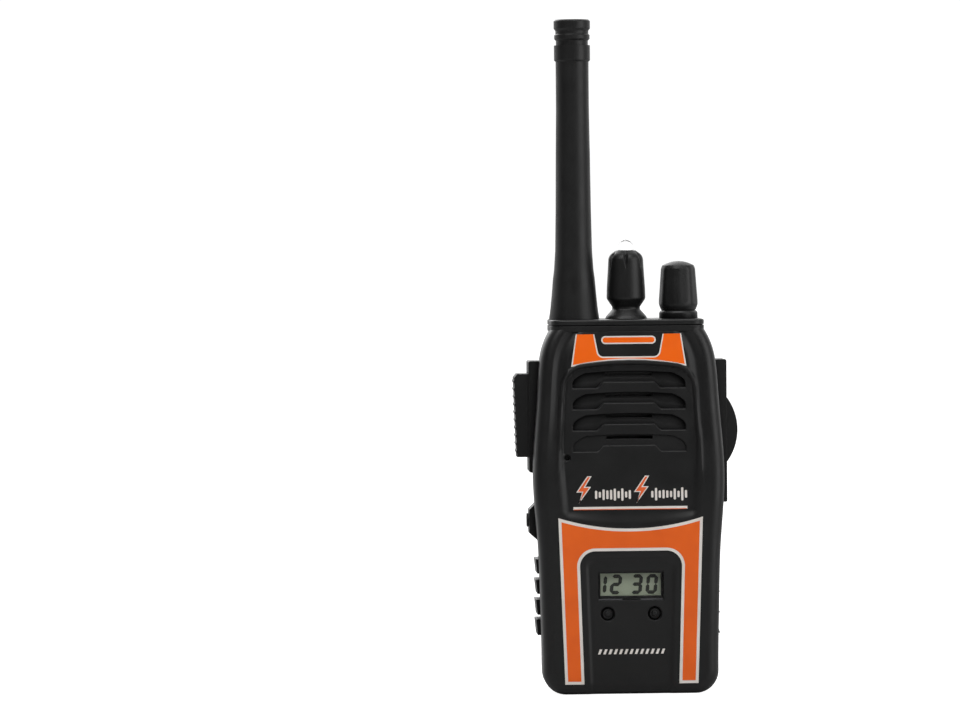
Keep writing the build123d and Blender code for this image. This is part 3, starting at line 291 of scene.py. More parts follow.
def make_piece(name, points, faces, material, body="case"):
    """A mesh from points in millimetres, smooth except at its sharp edges."""
    mesh = bpy.data.meshes.new(name)
    piece = bpy.data.objects.new(name, mesh)
    bpy.context.scene.collection.objects.link(piece)
    shape = bmesh.new()
    vertices = [shape.verts.new(Vector(point) * MM) for point in points]
    for face in faces:
        shape.faces.new([vertices[k] for k in face])
    bmesh.ops.remove_doubles(shape, verts=shape.verts, dist=MERGE_DISTANCE)
    bmesh.ops.recalc_face_normals(shape, faces=shape.faces)
    for face in shape.faces:
        face.smooth = True
    for edge in shape.edges:
        edge.smooth = len(edge.link_faces) == 2 and edge.calc_face_angle(0.0) < SHARP_ANGLE
    shape.to_mesh(mesh)
    shape.free()
    mesh.materials.append(material)
    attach(piece, body)
    return piece


def plate(name, outlines, back_y, front_y, material, body="case"):
    """Flat pieces in one mesh, each from its outline (x, z), between two depths at each height."""
    points, faces = [], []
    for outline in outlines:
        first, count = len(points), len(outline)
        points += [(x, front_y(z), z) for x, z in outline]
        points += [(x, back_y(z), z) for x, z in outline]
        faces.append([first + k for k in range(count)])
        faces.append([first + count + k for k in reversed(range(count))])
        for k in range(count):
            after = (k + 1) % count
            faces.append([first + k, first + after, first + count + after, first + count + k])
    return make_piece(name, points, faces, material, body)


def loops_piece(name, loops, material, body="case", closed=False):
    """A piece skinned over loops of equal length, its ends capped or the last joined to the first."""
    count = len(loops[0])
    points = [point for loop in loops for point in loop]
    pairs = [(row, row + 1) for row in range(len(loops) - 1)] + [(len(loops) - 1, 0)] * closed
    faces = [
        (a * count + k, a * count + (k + 1) % count, b * count + (k + 1) % count, b * count + k)
        for a, b in pairs for k in range(count)
    ]
    if not closed:
        faces += [tuple(range(count)), tuple(range(len(points) - count, len(points)))]
    return make_piece(name, points, faces, material, body)


def turned(name, centre, profile, material, body="case", sink=None, upright=True, count=96):
    """A piece turned from its profile (r, height) round a Z axis, or a Y axis where not upright."""
    loops = []
    for r, height in profile:
        loop = []
        for k in range(count):
            turn = 2 * math.pi * k / count
            reach = r - (sink(r, height, turn) if sink else 0.0)
            across, along = centre[0] + reach * math.cos(turn), centre[1] + reach * math.sin(turn)
            loop.append((across, along, height) if upright else (across, height, along))
        loops.append(loop)
    return loops_piece(name, loops, material, body)


def circle(centre, r, count=48):
    turns = [2 * math.pi * k / count for k in range(count)]
    return [(centre[0] + r * math.cos(turn), centre[1] + r * math.sin(turn)) for turn in turns]


def rectangle(x_limits, z_limits):
    (left, right), (low, high) = x_limits, z_limits
    return [(left, low), (right, low), (right, high), (left, high)]


def rounded_path(points, rounds, steps=6):
    """A path with its inner corners rounded; rounds has one radius for each of them."""
    path = [points[0]]
    for before, corner, after, r in zip(points, points[1:], points[2:], rounds):
        corner = Vector(corner)
        start = corner + (Vector(before) - corner).normalized() * r
        end = corner + (Vector(after) - corner).normalized() * r
        for k in range(steps + 1):
            t = k / steps
            path.append(tuple(start * (1 - t) ** 2 + corner * 2 * t * (1 - t) + end * t * t))
    path.append(points[-1])
    return path


def clamped_spline(stations, start_slope, end_slope):
    """The smooth function x(z) through the stations (x, z), with its slopes at both ends."""
    x, z = np.array(stations, float).T
    count, step = len(z), np.diff(z)
    matrix, right = np.eye(count), np.zeros(count)
    right[0], right[-1] = start_slope, end_slope
    for k in range(1, count - 1):
        before, after = step[k - 1], step[k]
        matrix[k, k - 1 : k + 2] = after, 2 * (before + after), before
        right[k] = 3 * (after * (x[k] - x[k - 1]) / before + before * (x[k + 1] - x[k]) / after)
    slope = np.linalg.solve(matrix, right)

    def value(at):
        k = np.clip(np.searchsorted(z, at) - 1, 0, count - 2)
        t = (at - z[k]) / step[k]
        rise = t * t * (3 - 2 * t)
        ends = x[k] * (1 - rise) + x[k + 1] * rise
        return ends + step[k] * (t * (1 - t) ** 2 * slope[k] + t * t * (t - 1) * slope[k + 1])

    return value


flank = clamped_spline(SIDE_STATIONS, 0.0, FLANK_END_SLOPE)
shoulder = clamped_spline(SHOULDER_STATIONS, FLANK_END_SLOPE, SHOULDER_END_SLOPE)
panel_side = clamped_spline(PANEL_SIDE, *PANEL_SIDE_SLOPES)


def half_width(z):
    return np.where(z < SIDE_STATIONS[-1][1], flank(np.maximum(z, CORNER_R)), shoulder(z))


def side_slope(z):
    step = 0.05
    return (half_width(z + step) - half_width(z - step)) / (2 * step)


def ramp(value, low, high):
    """0 below low, 1 above high, and smooth between them."""
    t = np.clip((value - low) / (high - low), 0.0, 1.0)
    return t * t * (3 - 2 * t)


def rounded_inside(a, b, r):
    """How far inside two limits a place is, with their corner rounded."""
    return np.maximum(r, np.minimum(a, b)) - np.hypot(np.maximum(r - a, 0), np.maximum(r - b, 0))


def plain_front(z):
    """The front surface without its relief: upright below, leaning back above."""
    t = z - LEAN_START_Z
    return FRONT_Y + LEAN_SLOPE * (t + np.sqrt(t * t + LEAN_SOFTNESS**2)) / 2


def lean_front(z):
    """The front surface at one height, as plain_front but with no softening where the lean starts."""
    return FRONT_Y + LEAN_SLOPE * max(0.0, z - LEAN_START_Z)


def flute(x, z):
    """The long hollow that runs up beside each edge of the front."""
    inward = (half_width(z) - np.abs(x)) / np.hypot(1, side_slope(z))
    across = np.clip((inward - FLUTE_MIDDLE) / FLUTE_HALF_WIDTH, -1, 1)
    return FLUTE_DEPTH * np.cos(across * math.pi / 2) ** 2 * ramp(z, *FLUTE_FADE_Z)


def speaker_panel(x, z):
    """The recess round the grille, with its arched top and hollow lower edge."""
    top = PANEL_TOP_Z - PANEL_TOP_DROP * (np.abs(x) / PANEL_TOP_HALF_WIDTH) ** PANEL_TOP_POWER
    bottom = PANEL_BOTTOM_Z + PANEL_BOTTOM_RISE * (x / PANEL_BOTTOM_HALF_WIDTH) ** 2
    side = panel_side(np.clip(z, PANEL_SIDE[0][1], PANEL_SIDE[-1][1])) - np.abs(x)
    inside = rounded_inside(side, top - z, PANEL_CORNER_R)
    edge_end = PANEL_EDGE_END + PANEL_EDGE_EXTRA * (1 - ramp(z, *PANEL_EDGE_FADE_Z))
    recess = PANEL_RECESS * ramp(inside, PANEL_EDGE_START, edge_end) * ramp(z, bottom, PANEL_FLAT_Z)
    across = np.clip((inside + RIDGE_MIDDLE) / RIDGE_MIDDLE, -1, 1)
    return recess - RIDGE_HEIGHT * np.cos(across * math.pi / 2) ** 2 * ramp(z, *RIDGE_FADE_Z)


def clock_panel(x, z):
    foot_x, foot_z = CLOCK_PANEL_FOOT
    side = foot_x + CLOCK_PANEL_SLOPE * (z - foot_z) - np.abs(x)
    inside = rounded_inside(side, CLOCK_PANEL_TOP_Z - z, CLOCK_PANEL_CORNER_R)
    return CLOCK_PANEL_RECESS * ramp(inside, *CLOCK_PANEL_EDGE)


def relief(x, z):
    return flute(x, z) + speaker_panel(x, z) + clock_panel(x, z)


# The front shell's grid of rows and columns

def half_columns():
    """Columns right of the centre, as (fixed place, share of the way from FIXED_X to the edge)."""
    fixed = np.concatenate([
        np.linspace(0.5, SLIT_END_X, 15), np.linspace(8.0, 10.2, 5), [WINDOW_X, WINDOW_X + CHAMFER],
        np.linspace(11.3, 12.7, 4), np.linspace(13.0, 14.8, 8), np.linspace(15.3, 17.8, 6),
        [SLOT_END_X - WALL_LEAN, SLOT_END_X, SLOT_END_X + CHAMFER, FIXED_X],
    ])
    inner_corner_r = CORNER_R - EDGE_ROUND
    edge = SIDE_STATIONS[0][0] - EDGE_ROUND
    near = np.linspace(FIXED_X, edge - inner_corner_r, 14)[1:]
    arc = edge - inner_corner_r + inner_corner_r * np.sin(np.linspace(0, math.pi / 2, 13)[1:])
    shares = (np.concatenate([near, arc]) - FIXED_X) / (edge - FIXED_X)
    places = [(x, 0.0) for x in fixed] + [(FIXED_X, share) for share in shares]
    return np.array(places)


def columns():
    half = half_columns()
    left = half[::-1] * (-1, 1)
    return np.concatenate([left, [(0.0, 0.0)], half])


def column_x(places, z):
    """Where each column is at the heights given, one for each column."""
    room = half_width(z) - EDGE_ROUND * np.hypot(1, side_slope(z)) - FIXED_X
    return places[:, 0] + np.sign(places[:, 0]) * places[:, 1] * room


def slot_bottom(x, bottom):
    """A slot's lower edge, which steps up towards the middle over a short slant."""
    return bottom + SLOT_STEP_RISE * np.clip((SLOT_STEP_END_X - np.abs(x)) / SLOT_STEP_RUN, 0, 1)


def slot_lip(x):
    """The chamfer along a slot's lower edge, wider where the edge slants."""
    return CHAMFER + SLANT_LIP * np.clip(1 - np.abs(np.abs(x) - SLANT_MIDDLE_X) / SLANT_REACH, 0, 1)


def slot_top(x, bottom):
    """The arch over a pocket, which drops to its rounded ends."""
    x = np.minimum(np.abs(x), SLOT_END_X)
    arch = SLOT_ARCH_HEIGHT - SLOT_ARCH_SAG * (x / SLOT_ARCH_END_X) ** 2
    end = SLOT_END_HEIGHT + SLOT_END_RISE * np.sqrt(np.clip((SLOT_END_X - x) / SLOT_END_RUN, 0, 1))
    return bottom + np.where(x < SLOT_ARCH_END_X, arch, end)


def spread_out(rows, first, share):
    """Moves the rows after the first towards even spacing, by a share for each column."""
    low, high = rows[first][0], rows[-1][0]
    for k in range(first, len(rows)):
        even = low + (high - low) * (k - first) / (len(rows) - 1 - first)
        heights, depth = rows[k]
        rows[k] = (heights + (even - heights) * share, depth)


def front_rows(places):
    """The rows from the base up, as (heights over all columns, pocket depth), and the slits' rows."""
    x = column_x(places, np.full(len(places), CORNER_R))
    sink = CORNER_R - EDGE_ROUND
    reach = np.clip(np.abs(x) - (SIDE_STATIONS[0][0] - CORNER_R), 0, sink)
    rows = [(EDGE_ROUND + sink - np.sqrt(sink**2 - reach**2), np.zeros(x.shape))]
    lip = slot_lip(x)
    slits = []

    def climb(height, count, depth=0.0):
        target = np.broadcast_to(height, x.shape)
        start = rows[-1][0]
        for k in range(1, count + 1):
            rows.append((start + (target - start) * k / count, np.broadcast_to(depth, x.shape)))

    for height, count in LOWER_ROWS:
        climb(height, count)
    first = len(rows) - 1
    for bottom, depth in zip(SLOT_BOTTOMS, SLOT_DEPTHS):
        low, high = slot_bottom(x, bottom), slot_top(x, bottom)
        climb(low - lip, 6)
        climb(low, 1, np.minimum(lip, depth))
        climb(low + WALL_LEAN, 1, 0.85 * depth)
        climb(low + 0.35 * (high - low), 2, 0.93 * depth)
        climb(low + 0.60 * (high - low), 3, depth)
        slits.append(len(rows) - 1)
        climb(low + 0.92 * (high - low), 2, depth)
        climb(high - WALL_LEAN, 1, depth)
        climb(high, 1, CHAMFER)
        climb(high + CHAMFER, 1)
    climb(*SPREAD_ROWS)
    spread_out(rows, first, ramp(np.abs(x), SLOT_END_X + CHAMFER, SPREAD_END_X))
    for height, count in UPPER_ROWS:
        climb(height, count)
    return rows, slits


def pocket_share(x):
    """How much of a pocket's depth a column takes: all inside its ends, a chamfer, then none."""
    x = np.abs(x)
    return np.where(x < SLOT_END_X - WALL_LEAN / 2, 1.0, 0.0), np.where(x < SLOT_END_X + 0.01, 1.0, 0.0)


class FrontCasing:
    """The front shell as a grid of cells with an outer and an inner face, round its openings, and a rim."""

    def __init__(self):
        places = columns()
        rows, slits = front_rows(places)
        depth = np.array([row_depth for heights, row_depth in rows])
        self.z = np.array([heights for heights, row_depth in rows])
        self.x = np.array([column_x(places, np.maximum(heights, CORNER_R)) for heights in self.z])
        full, edge = pocket_share(self.x)
        pocket = np.maximum(depth * full, np.minimum(depth, CHAMFER) * edge)
        self.outer_y = plain_front(self.z) + relief(self.x, self.z) + pocket
        self.inner_y = plain_front(self.z) + FRONT_WALL
        self.middle_x = (self.x[:-1, :-1] + self.x[1:, 1:]) / 2
        self.middle_z = (self.z[:-1, :-1] + self.z[1:, 1:]) / 2
        self.points = [
            tuple(point) for y in (self.outer_y, self.inner_y)
            for point in np.stack([self.x, y, self.z], -1).reshape(-1, 3)
        ]
        self.faces = []
        self.solid = self.solid_cells(slits)
        self.patched = np.zeros_like(self.solid)

    def at(self, j, i, inner=0):
        """The index of a grid point, by its row and column."""
        return inner * self.z.size + j * self.z.shape[1] + i

    def solid_cells(self, slits):
        """The cells that have a wall: all but those of the slits and the window."""
        solid = np.ones(self.middle_x.shape, bool)
        for j in slits:
            solid[j : j + 2][np.abs(self.middle_x[j : j + 2]) < SLIT_END_X] = False
        low, high = WINDOW_Z
        solid[(np.abs(self.middle_x) < WINDOW_X) & (self.middle_z > low) & (self.middle_z < high)] = False
        return solid

    def band(self, first, second):
        """Faces between two closed loops of points."""
        for k in range(len(first)):
            after = (k + 1) % len(first)
            self.faces.append((first[k], first[after], second[after], second[k]))

    def cells_round(self, place, reach):
        """Takes out the cells round a place, and gives the (row, column) of each point round them."""
        near = (np.abs(self.middle_x - place[0]) < reach) & (np.abs(self.middle_z - place[1]) < reach)
        rows, cells = np.where(near)
        j0, j1, i0, i1 = rows.min(), rows.max() + 1, cells.min(), cells.max() + 1
        self.patched[j0:j1, i0:i1] = True
        loop = [(j0, i) for i in range(i0, i1)] + [(j, i1) for j in range(j0, j1)]
        return loop + [(j1, i) for i in range(i1, i0, -1)] + [(j, i0) for j in range(j1, j0, -1)]

    def punch(self, place, reach, profile):
        """A round hole: rings from the cells' edge to the circle, then down its profile."""
        loop = self.cells_round(place, reach)
        turns = [math.atan2(self.z[j, i] - place[1], self.x[j, i] - place[0]) for j, i in loop]
        face_y = plain_front(np.array(place[1])) + relief(*np.array(place))
        previous = [self.at(j, i) for j, i in loop]
        for r, sunk in profile:
            ring = list(range(len(self.points), len(self.points) + len(loop)))
            for turn in turns:
                x, z = place[0] + r * math.cos(turn), place[1] + r * math.sin(turn)
                self.points.append((x, face_y + sunk, z))
            self.band(previous, ring)
            previous = ring
        self.band(previous, [self.at(j, i, 1) for j, i in loop])

    def cell_walls(self, j, i):
        """The walls between a cell and the openings beside it."""
        sides = (
            (j, i - 1, (j, i), (j + 1, i)), (j, i + 1, (j, i + 1), (j + 1, i + 1)),
            (j - 1, i, (j, i), (j, i + 1)), (j + 1, i, (j + 1, i), (j + 1, i + 1)),
        )
        for row, column, a, b in sides:
            in_grid = 0 <= row < self.solid.shape[0] and 0 <= column < self.solid.shape[1]
            if in_grid and not self.solid[row, column]:
                self.faces.append((self.at(*a), self.at(*b), self.at(*b, 1), self.at(*a, 1)))

    def skin(self):
        """The outer and inner faces, the walls of the openings and the wall's top edge."""
        for j, i in np.argwhere(self.solid & ~self.patched):
            for inner in (0, 1):
                corners = ((j, i), (j, i + 1), (j + 1, i + 1), (j + 1, i))
                self.faces.append(tuple(self.at(*corner, inner) for corner in corners))
            self.cell_walls(j, i)
        top = self.z.shape[0] - 1
        for i in range(self.z.shape[1] - 1):
            edge = (self.at(top, i), self.at(top, i + 1), self.at(top, i + 1, 1), self.at(top, i, 1))
            self.faces.append(edge)

    def outward(self, j, i):
        """The direction (x, z) out of the outline, at a point on it."""
        x, z = self.x[j, i], self.z[j, i]
        if j:
            return Vector((math.copysign(1, x), -float(side_slope(z)))).normalized()
        centre_x = math.copysign(min(abs(x), SIDE_STATIONS[0][0] - CORNER_R), x)
        return Vector((x - centre_x, z - CORNER_R)).normalized()

    def rim_section(self, j, i):
        """Out over the rounded edge, back along the side, in, and forward to the inner face."""
        x, y, z = self.x[j, i], self.outer_y[j, i], self.z[j, i]
        section = []
        for k in range(1, EDGE_STEPS + 1):
            turn = math.pi / 2 * k / EDGE_STEPS
            section.append((EDGE_ROUND * math.sin(turn), y + EDGE_ROUND * (1 - math.cos(turn))))
        section += [
            (EDGE_ROUND, (y + EDGE_ROUND + PARTING_Y) / 2), (EDGE_ROUND, PARTING_Y - PARTING_CHAMFER),
            (EDGE_ROUND - PARTING_CHAMFER, PARTING_Y), (EDGE_ROUND - SIDE_WALL, PARTING_Y),
            (EDGE_ROUND - SIDE_WALL, self.inner_y[j, i]),
        ]
        way = self.outward(j, i)
        start = len(self.points)
        self.points.extend((x + way.x * out, depth, z + way.y * out) for out, depth in section)
        return [self.at(j, i), *range(start, start + len(section)), self.at(j, i, 1)]

    def rim(self):
        """The edge and side, down the left, along the foot and up the right."""
        row_count, column_count = self.z.shape
        path = [(j, 0) for j in range(row_count - 1, CORNER_ROWS, -1)]
        path += [(0, i) for i in range(column_count)]
        path += [(j, column_count - 1) for j in range(CORNER_ROWS + 1, row_count)]
        sections = [self.rim_section(j, i) for j, i in path]
        for before, after in zip(sections, sections[1:]):
            for k in range(len(before) - 1):
                self.faces.append((before[k], after[k], after[k + 1], before[k + 1]))
        self.faces += [sections[0], sections[-1][::-1]]


def front_shell(material):
    casing = FrontCasing()
    for side in (-1, 1):
        casing.punch((side * CLOCK_BUTTON_X, CLOCK_BUTTON_Z), BUTTON_HOLE_REACH, BUTTON_HOLE)
    casing.punch(MIC_PLACE, MIC_HOLE_REACH, MIC_HOLE)
    casing.skin()
    casing.rim()
    piece = make_piece("front_casing", casing.points, casing.faces, material)
    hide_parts("front_shell")


# Materials

def new_material(name, colour, roughness, **sockets):
    """A material with the values that are the same all over it; sockets are named by their inputs."""
    material = bpy.data.materials.new(name)
    material.use_nodes = True
    shader = material.node_tree.nodes["Principled BSDF"]
    shader.inputs["Base Color"].default_value = (*colour, 1)
    shader.inputs["Roughness"].default_value = roughness
    for socket, value in sockets.items():
        shader.inputs[socket.replace("_", " ")].default_value = value
    return material


def map_range(tree, source, from_min, from_max, to_min, to_max):
    """One range of values mapped onto another, held at its ends."""
    remap = tree.nodes.new("ShaderNodeMapRange")
    limits = {"From Min": from_min, "From Max": from_max, "To Min": to_min, "To Max": to_max}
    for socket, value in limits.items():
        remap.inputs[socket].default_value = value
    tree.links.new(source, remap.inputs["Value"])
    return remap.outputs["Result"]


def arithmetic(tree, operation, first, second):
    """A math node; its second input is a socket or a number."""
    node = tree.nodes.new("ShaderNodeMath")
    node.operation = operation
    tree.links.new(first, node.inputs[0])
    if isinstance(second, float):
        node.inputs[1].default_value = second
    else:
        tree.links.new(second, node.inputs[1])
    return node.outputs["Value"]


def place_in(tree, space):
    """The shaded point in one of the coordinate node's spaces."""
    return tree.nodes.new("ShaderNodeTexCoord").outputs[space]


def coordinate(tree, vector, axis):
    split = tree.nodes.new("ShaderNodeSeparateXYZ")
    tree.links.new(vector, split.inputs["Vector"])
    return split.outputs[axis]


def noise(material, size_mm, detail=3.0):
    """A noise whose features are about that size, fixed to the object."""
    tree = material.node_tree
    texture = tree.nodes.new("ShaderNodeTexNoise")
    texture.inputs["Scale"].default_value = 1 / (size_mm * MM)
    texture.inputs["Detail"].default_value = detail
    tree.links.new(place_in(tree, "Object"), texture.inputs["Vector"])
    return texture.outputs["Fac"]


def spread(material, source, low, high):
    """The noise's middle range mapped onto two values."""
    return map_range(material.node_tree, source, 0.3, 0.7, low, high)


def vary(material, colour_pair=None, roughness_pair=None, size_mm=12.0):
    """Slow changes of colour and gloss over the surface, like handling marks."""
    tree = material.node_tree
    shader = tree.nodes["Principled BSDF"]
    if colour_pair:
        mix = tree.nodes.new("ShaderNodeMix")
        mix.data_type = "RGBA"
        mix.inputs["A"].default_value = (*colour_pair[0], 1)
        mix.inputs["B"].default_value = (*colour_pair[1], 1)
        tree.links.new(spread(material, noise(material, size_mm), 0, 1), mix.inputs["Factor"])
        tree.links.new(mix.outputs["Result"], shader.inputs["Base Color"])
    if roughness_pair:
        source = spread(material, noise(material, size_mm * 0.6, 6.0), *roughness_pair)
        tree.links.new(source, shader.inputs["Roughness"])


def texture_surface(material, grain_mm, depth_mm, edge_mm=0.0):
    """A moulded grain, over edges that look rounded where edge_mm is given."""
    tree = material.node_tree
    bump = tree.nodes.new("ShaderNodeBump")
    bump.inputs["Distance"].default_value = depth_mm * MM
    tree.links.new(noise(material, grain_mm, 2.0), bump.inputs["Height"])
    if edge_mm:
        bevel = tree.nodes.new("ShaderNodeBevel")
        bevel.samples = 4
        bevel.inputs["Radius"].default_value = edge_mm * MM
        tree.links.new(bevel.outputs["Normal"], bump.inputs["Normal"])
    tree.links.new(bump.outputs["Normal"], tree.nodes["Principled BSDF"].inputs["Normal"])


def paint_pocket_shade_and_lip_highlight(material):
    """Painted shade in crevices and a painted highlight on upward faces: less gloss where the surface is
    closed in, as in a grille's pockets, and more gloss on faces turned up, such as their lips.
    """
    tree = material.node_tree
    openness = tree.nodes.new("ShaderNodeAmbientOcclusion")
    openness.samples = 6
    openness.only_local = True
    openness.inputs["Distance"].default_value = CREVICE_REACH * MM
    painted_shade_gloss, painted_highlight_gloss = SHADED_CREVICE_GLOSS_SHARE * PLASTIC_GLOSS, LIP_HIGHLIGHT_GLOSS_SHARE * PLASTIC_GLOSS
    open_gloss = map_range(tree, openness.outputs["AO"], *CREVICE_OPENNESS, painted_shade_gloss, PLASTIC_GLOSS)
    surface = tree.nodes.new("ShaderNodeNewGeometry")
    upwardness = coordinate(tree, surface.outputs["Normal"], "Z")
    lip_highlight_gloss = map_range(tree, upwardness, *LIP_UPWARDNESS, 0.0, painted_highlight_gloss)
    gloss = arithmetic(tree, "MAXIMUM", open_gloss, lip_highlight_gloss)
    tree.links.new(gloss, tree.nodes["Principled BSDF"].inputs["Specular IOR Level"])


def shade(value):
    """A very slightly cool grey."""
    return (value, value * 1.01, value * 1.03)


def moulded(name, dark, light, roughness_pair, grain_mm, depth_mm, edge_mm):
    """Black moulded plastic."""
    material = new_material(name, shade(dark), roughness_pair[0], Specular_IOR_Level=PLASTIC_GLOSS)
    vary(material, (shade(dark), shade(light)), roughness_pair)
    texture_surface(material, grain_mm, depth_mm, edge_mm)
    return material


def coated(name, first, second, roughness_pair, grain_mm=0.5, depth_mm=0.003, **sockets):
    """A coloured surface with slight changes of tone, such as a sticker, a board or a can."""
    material = new_material(name, first, roughness_pair[0], **sockets)
    vary(material, (first, second), roughness_pair, 7.0)
    texture_surface(material, grain_mm, depth_mm)
    return material


def woven(name, colour, pitch_mm):
    """Cloth with a plain weave of crossing threads."""
    material = new_material(name, colour, 0.9, Sheen_Weight=0.3)
    tree = material.node_tree
    waves = []
    for direction in ("X", "Z"):
        wave = tree.nodes.new("ShaderNodeTexWave")
        wave.bands_direction = direction
        wave.inputs["Scale"].default_value = 1 / (pitch_mm * MM * 3.2)
        tree.links.new(place_in(tree, "Object"), wave.inputs["Vector"])
        waves.append(wave.outputs["Fac"])
    bump = tree.nodes.new("ShaderNodeBump")
    bump.inputs["Distance"].default_value = 0.1 * MM
    tree.links.new(arithmetic(tree, "MAXIMUM", *waves), bump.inputs["Height"])
    tree.links.new(bump.outputs["Normal"], tree.nodes["Principled BSDF"].inputs["Normal"])
    return material


def clear(name, alpha):
    material = new_material(name, (0.05, 0.05, 0.05), 0.06, Alpha=alpha)
    vary(material, None, (0.05, 0.09))
    return material


def glassy(name):
    material = new_material(name, (0.95, 0.95, 0.95), 0.03, Transmission_Weight=1.0, IOR=1.5)
    vary(material, None, (0.02, 0.05), 3.0)
    return material


def make_materials():
    materials = {name: moulded(name, *values) for name, values in MOULDED.items()}
    materials.update({name: coated(name, *values) for name, values in COATED.items()})
    materials.update({name: coated(name, *values, Metallic=1.0) for name, values in METALS.items()})
    materials["paper_cone"] = coated("paper_cone", *PAPER, 0.3, 0.03)
    materials["clear_plastic"] = clear("clear_plastic", 0.07)
    materials["cloth_black"] = woven("cloth_black", (0.008, 0.008, 0.008), 0.5)
    materials["battery_jacket"] = battery_jacket()
    materials["led_lens"] = glassy("led_lens")
    # painted shade in the case's crevices and a painted highlight on its upward faces
    paint_pocket_shade_and_lip_highlight(materials["case_black"])
    return materials


def battery_jacket():
    """A plain two-colour battery jacket: black below, copper above."""
    material = new_material("battery_jacket", (0.02, 0.02, 0.02), 0.3, Metallic=0.6)
    tree = material.node_tree
    bands = tree.nodes.new("ShaderNodeValToRGB")
    bands.color_ramp.interpolation = "CONSTANT"
    black, copper = bands.color_ramp.elements
    black.color = JACKET_BLACK
    copper.position = JACKET_COPPER_START
    copper.color = JACKET_COPPER
    low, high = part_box("battery")
    share = map_range(tree, coordinate(tree, place_in(tree, "Object"), "Z"), low.z, high.z, 0.0, 1.0)
    tree.links.new(share, bands.inputs["Fac"])
    tree.links.new(bands.outputs["Color"], tree.nodes["Principled BSDF"].inputs["Base Color"])
    texture_surface(material, 0.6, 0.002)
    return material


def smoothing_group():
    """Shades a carried-over part smooth, except at its real edges."""
    group = bpy.data.node_groups.new("smooth_by_angle", "GeometryNodeTree")
    group.interface.new_socket("Geometry", in_out="INPUT", socket_type="NodeSocketGeometry")
    group.interface.new_socket("Geometry", in_out="OUTPUT", socket_type="NodeSocketGeometry")
    entry = group.nodes.new("NodeGroupInput")
    leave = group.nodes.new("NodeGroupOutput")
    weld = group.nodes.new("GeometryNodeMergeByDistance")
    weld.inputs["Distance"].default_value = MERGE_DISTANCE
    whole = group.nodes.new("GeometryNodeSetShadeSmooth")
    edges = group.nodes.new("GeometryNodeSetShadeSmooth")
    edges.domain = "EDGE"
    angle = group.nodes.new("GeometryNodeInputMeshEdgeAngle")
    compare = group.nodes.new("FunctionNodeCompare")
    compare.operation = "LESS_THAN"
    compare.inputs["B"].default_value = SHARP_ANGLE
    group.links.new(entry.outputs["Geometry"], weld.inputs["Geometry"])
    group.links.new(weld.outputs["Geometry"], whole.inputs["Geometry"])
    group.links.new(whole.outputs["Geometry"], edges.inputs["Geometry"])
    group.links.new(angle.outputs["Unsigned Angle"], compare.inputs["A"])
    group.links.new(compare.outputs["Result"], edges.inputs["Shade Smooth"])
    group.links.new(edges.outputs["Geometry"], leave.inputs["Geometry"])
    return group


def dress_nodes(materials):
    """Every carried-over part gets the material of its slot and smooth shading."""
    group = smoothing_group()
    for subpart in frame["record"]["subparts"]:
        part = frame["nodes"][subpart["node"]]
        part.data.materials.clear()
        part.data.materials.append(materials[subpart["material_slot"]])
        if "custom_normal" in part.data.attributes:
            part.data.attributes.remove(part.data.attributes["custom_normal"])
        part.modifiers.new("smooth", "NODES").node_group = group


# Knobs, buttons and the clock's window

def around(turn, count, first):
    """The angle from the nearest of some places evenly round a knob."""
    step = 2 * math.pi / count
    return (turn - first + step / 2) % step - step / 2


def knob_flute(_, height, turn):
    """Broad shallow flutes, fading out at the foot and under the dome."""
    wave = 0.5 + 0.5 * math.cos(KNOB_FLUTES * (turn - KNOB_FLUTE_TURN))
    fade = ramp(height, *KNOB_FLUTE_FOOT_Z) * (1 - ramp(height, *KNOB_FLUTE_HEAD_Z))
    return KNOB_FLUTE_DEPTH * wave * float(fade)


def torch_notch(r, height, turn):
    """V-notches that widen and deepen towards the shoulder and close over it."""
    rise = max(0.0, min(height, TORCH_SHOULDER_Z) - TORCH_NOTCH_FOOT_Z)
    deep = TORCH_NOTCH_DEPTH * rise / (TORCH_SHOULDER_Z - TORCH_NOTCH_FOOT_Z)
    across = abs(around(turn, TORCH_NOTCHES, TORCH_NOTCH_TURN)) * r
    fade = float(1 - ramp(height, TORCH_SHOULDER_Z, TORCH_NOTCH_HEAD_Z))
    return max(0.0, deep - across * TORCH_NOTCH_SLOPE) * fade


def steps_between(path, longest):
    """The path with points added so that no step is longer than given."""
    fine = [path[0]]
    for a, b in zip(path, path[1:]):
        count = max(1, math.ceil(math.dist(a, b) / longest))
        fine += [tuple(Vector(a).lerp(Vector(b), k / count)) for k in range(1, count + 1)]
    return fine


def volume_knob(material):
    """The fluted cap and its dome."""
    profile = steps_between(rounded_path(VOLUME_PATH, VOLUME_ROUNDS), 0.5)
    for k in range(1, DOME_STEPS):
        r = DOME_R * (1 - k / DOME_STEPS)
        profile.append((r, DOME_FOOT_Z + DOME_RISE * (1 - (r / DOME_R) ** 2)))
    place = (VOLUME_X, KNOB_Y)
    knob = turned("volume_cap", place, profile, material, "volume_knob", knob_flute, count=192)
    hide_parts("volume_knob")


def torch_knob(material):
    """The notched grip round the torch's lamp."""
    profile = steps_between(rounded_path(TORCH_PATH, TORCH_ROUNDS), 0.3)
    place = (TORCH_X, KNOB_Y)
    knob = turned("torch_grip", place, profile, material, "case", torch_notch, count=240)
    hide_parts("torch_knob")


def clock_buttons(material):
    """The two sunk buttons, each a dish with a small pin to press."""
    profile = rounded_path(BUTTON_PATH, BUTTON_ROUNDS)
    for side, node in ((-1, "mode_button"), (1, "set_button")):
        place = (side * CLOCK_BUTTON_X, CLOCK_BUTTON_Z)
        name = node + "_cap"
        button = turned(name, place, profile, material, node, upright=False, count=64)
        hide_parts(node)


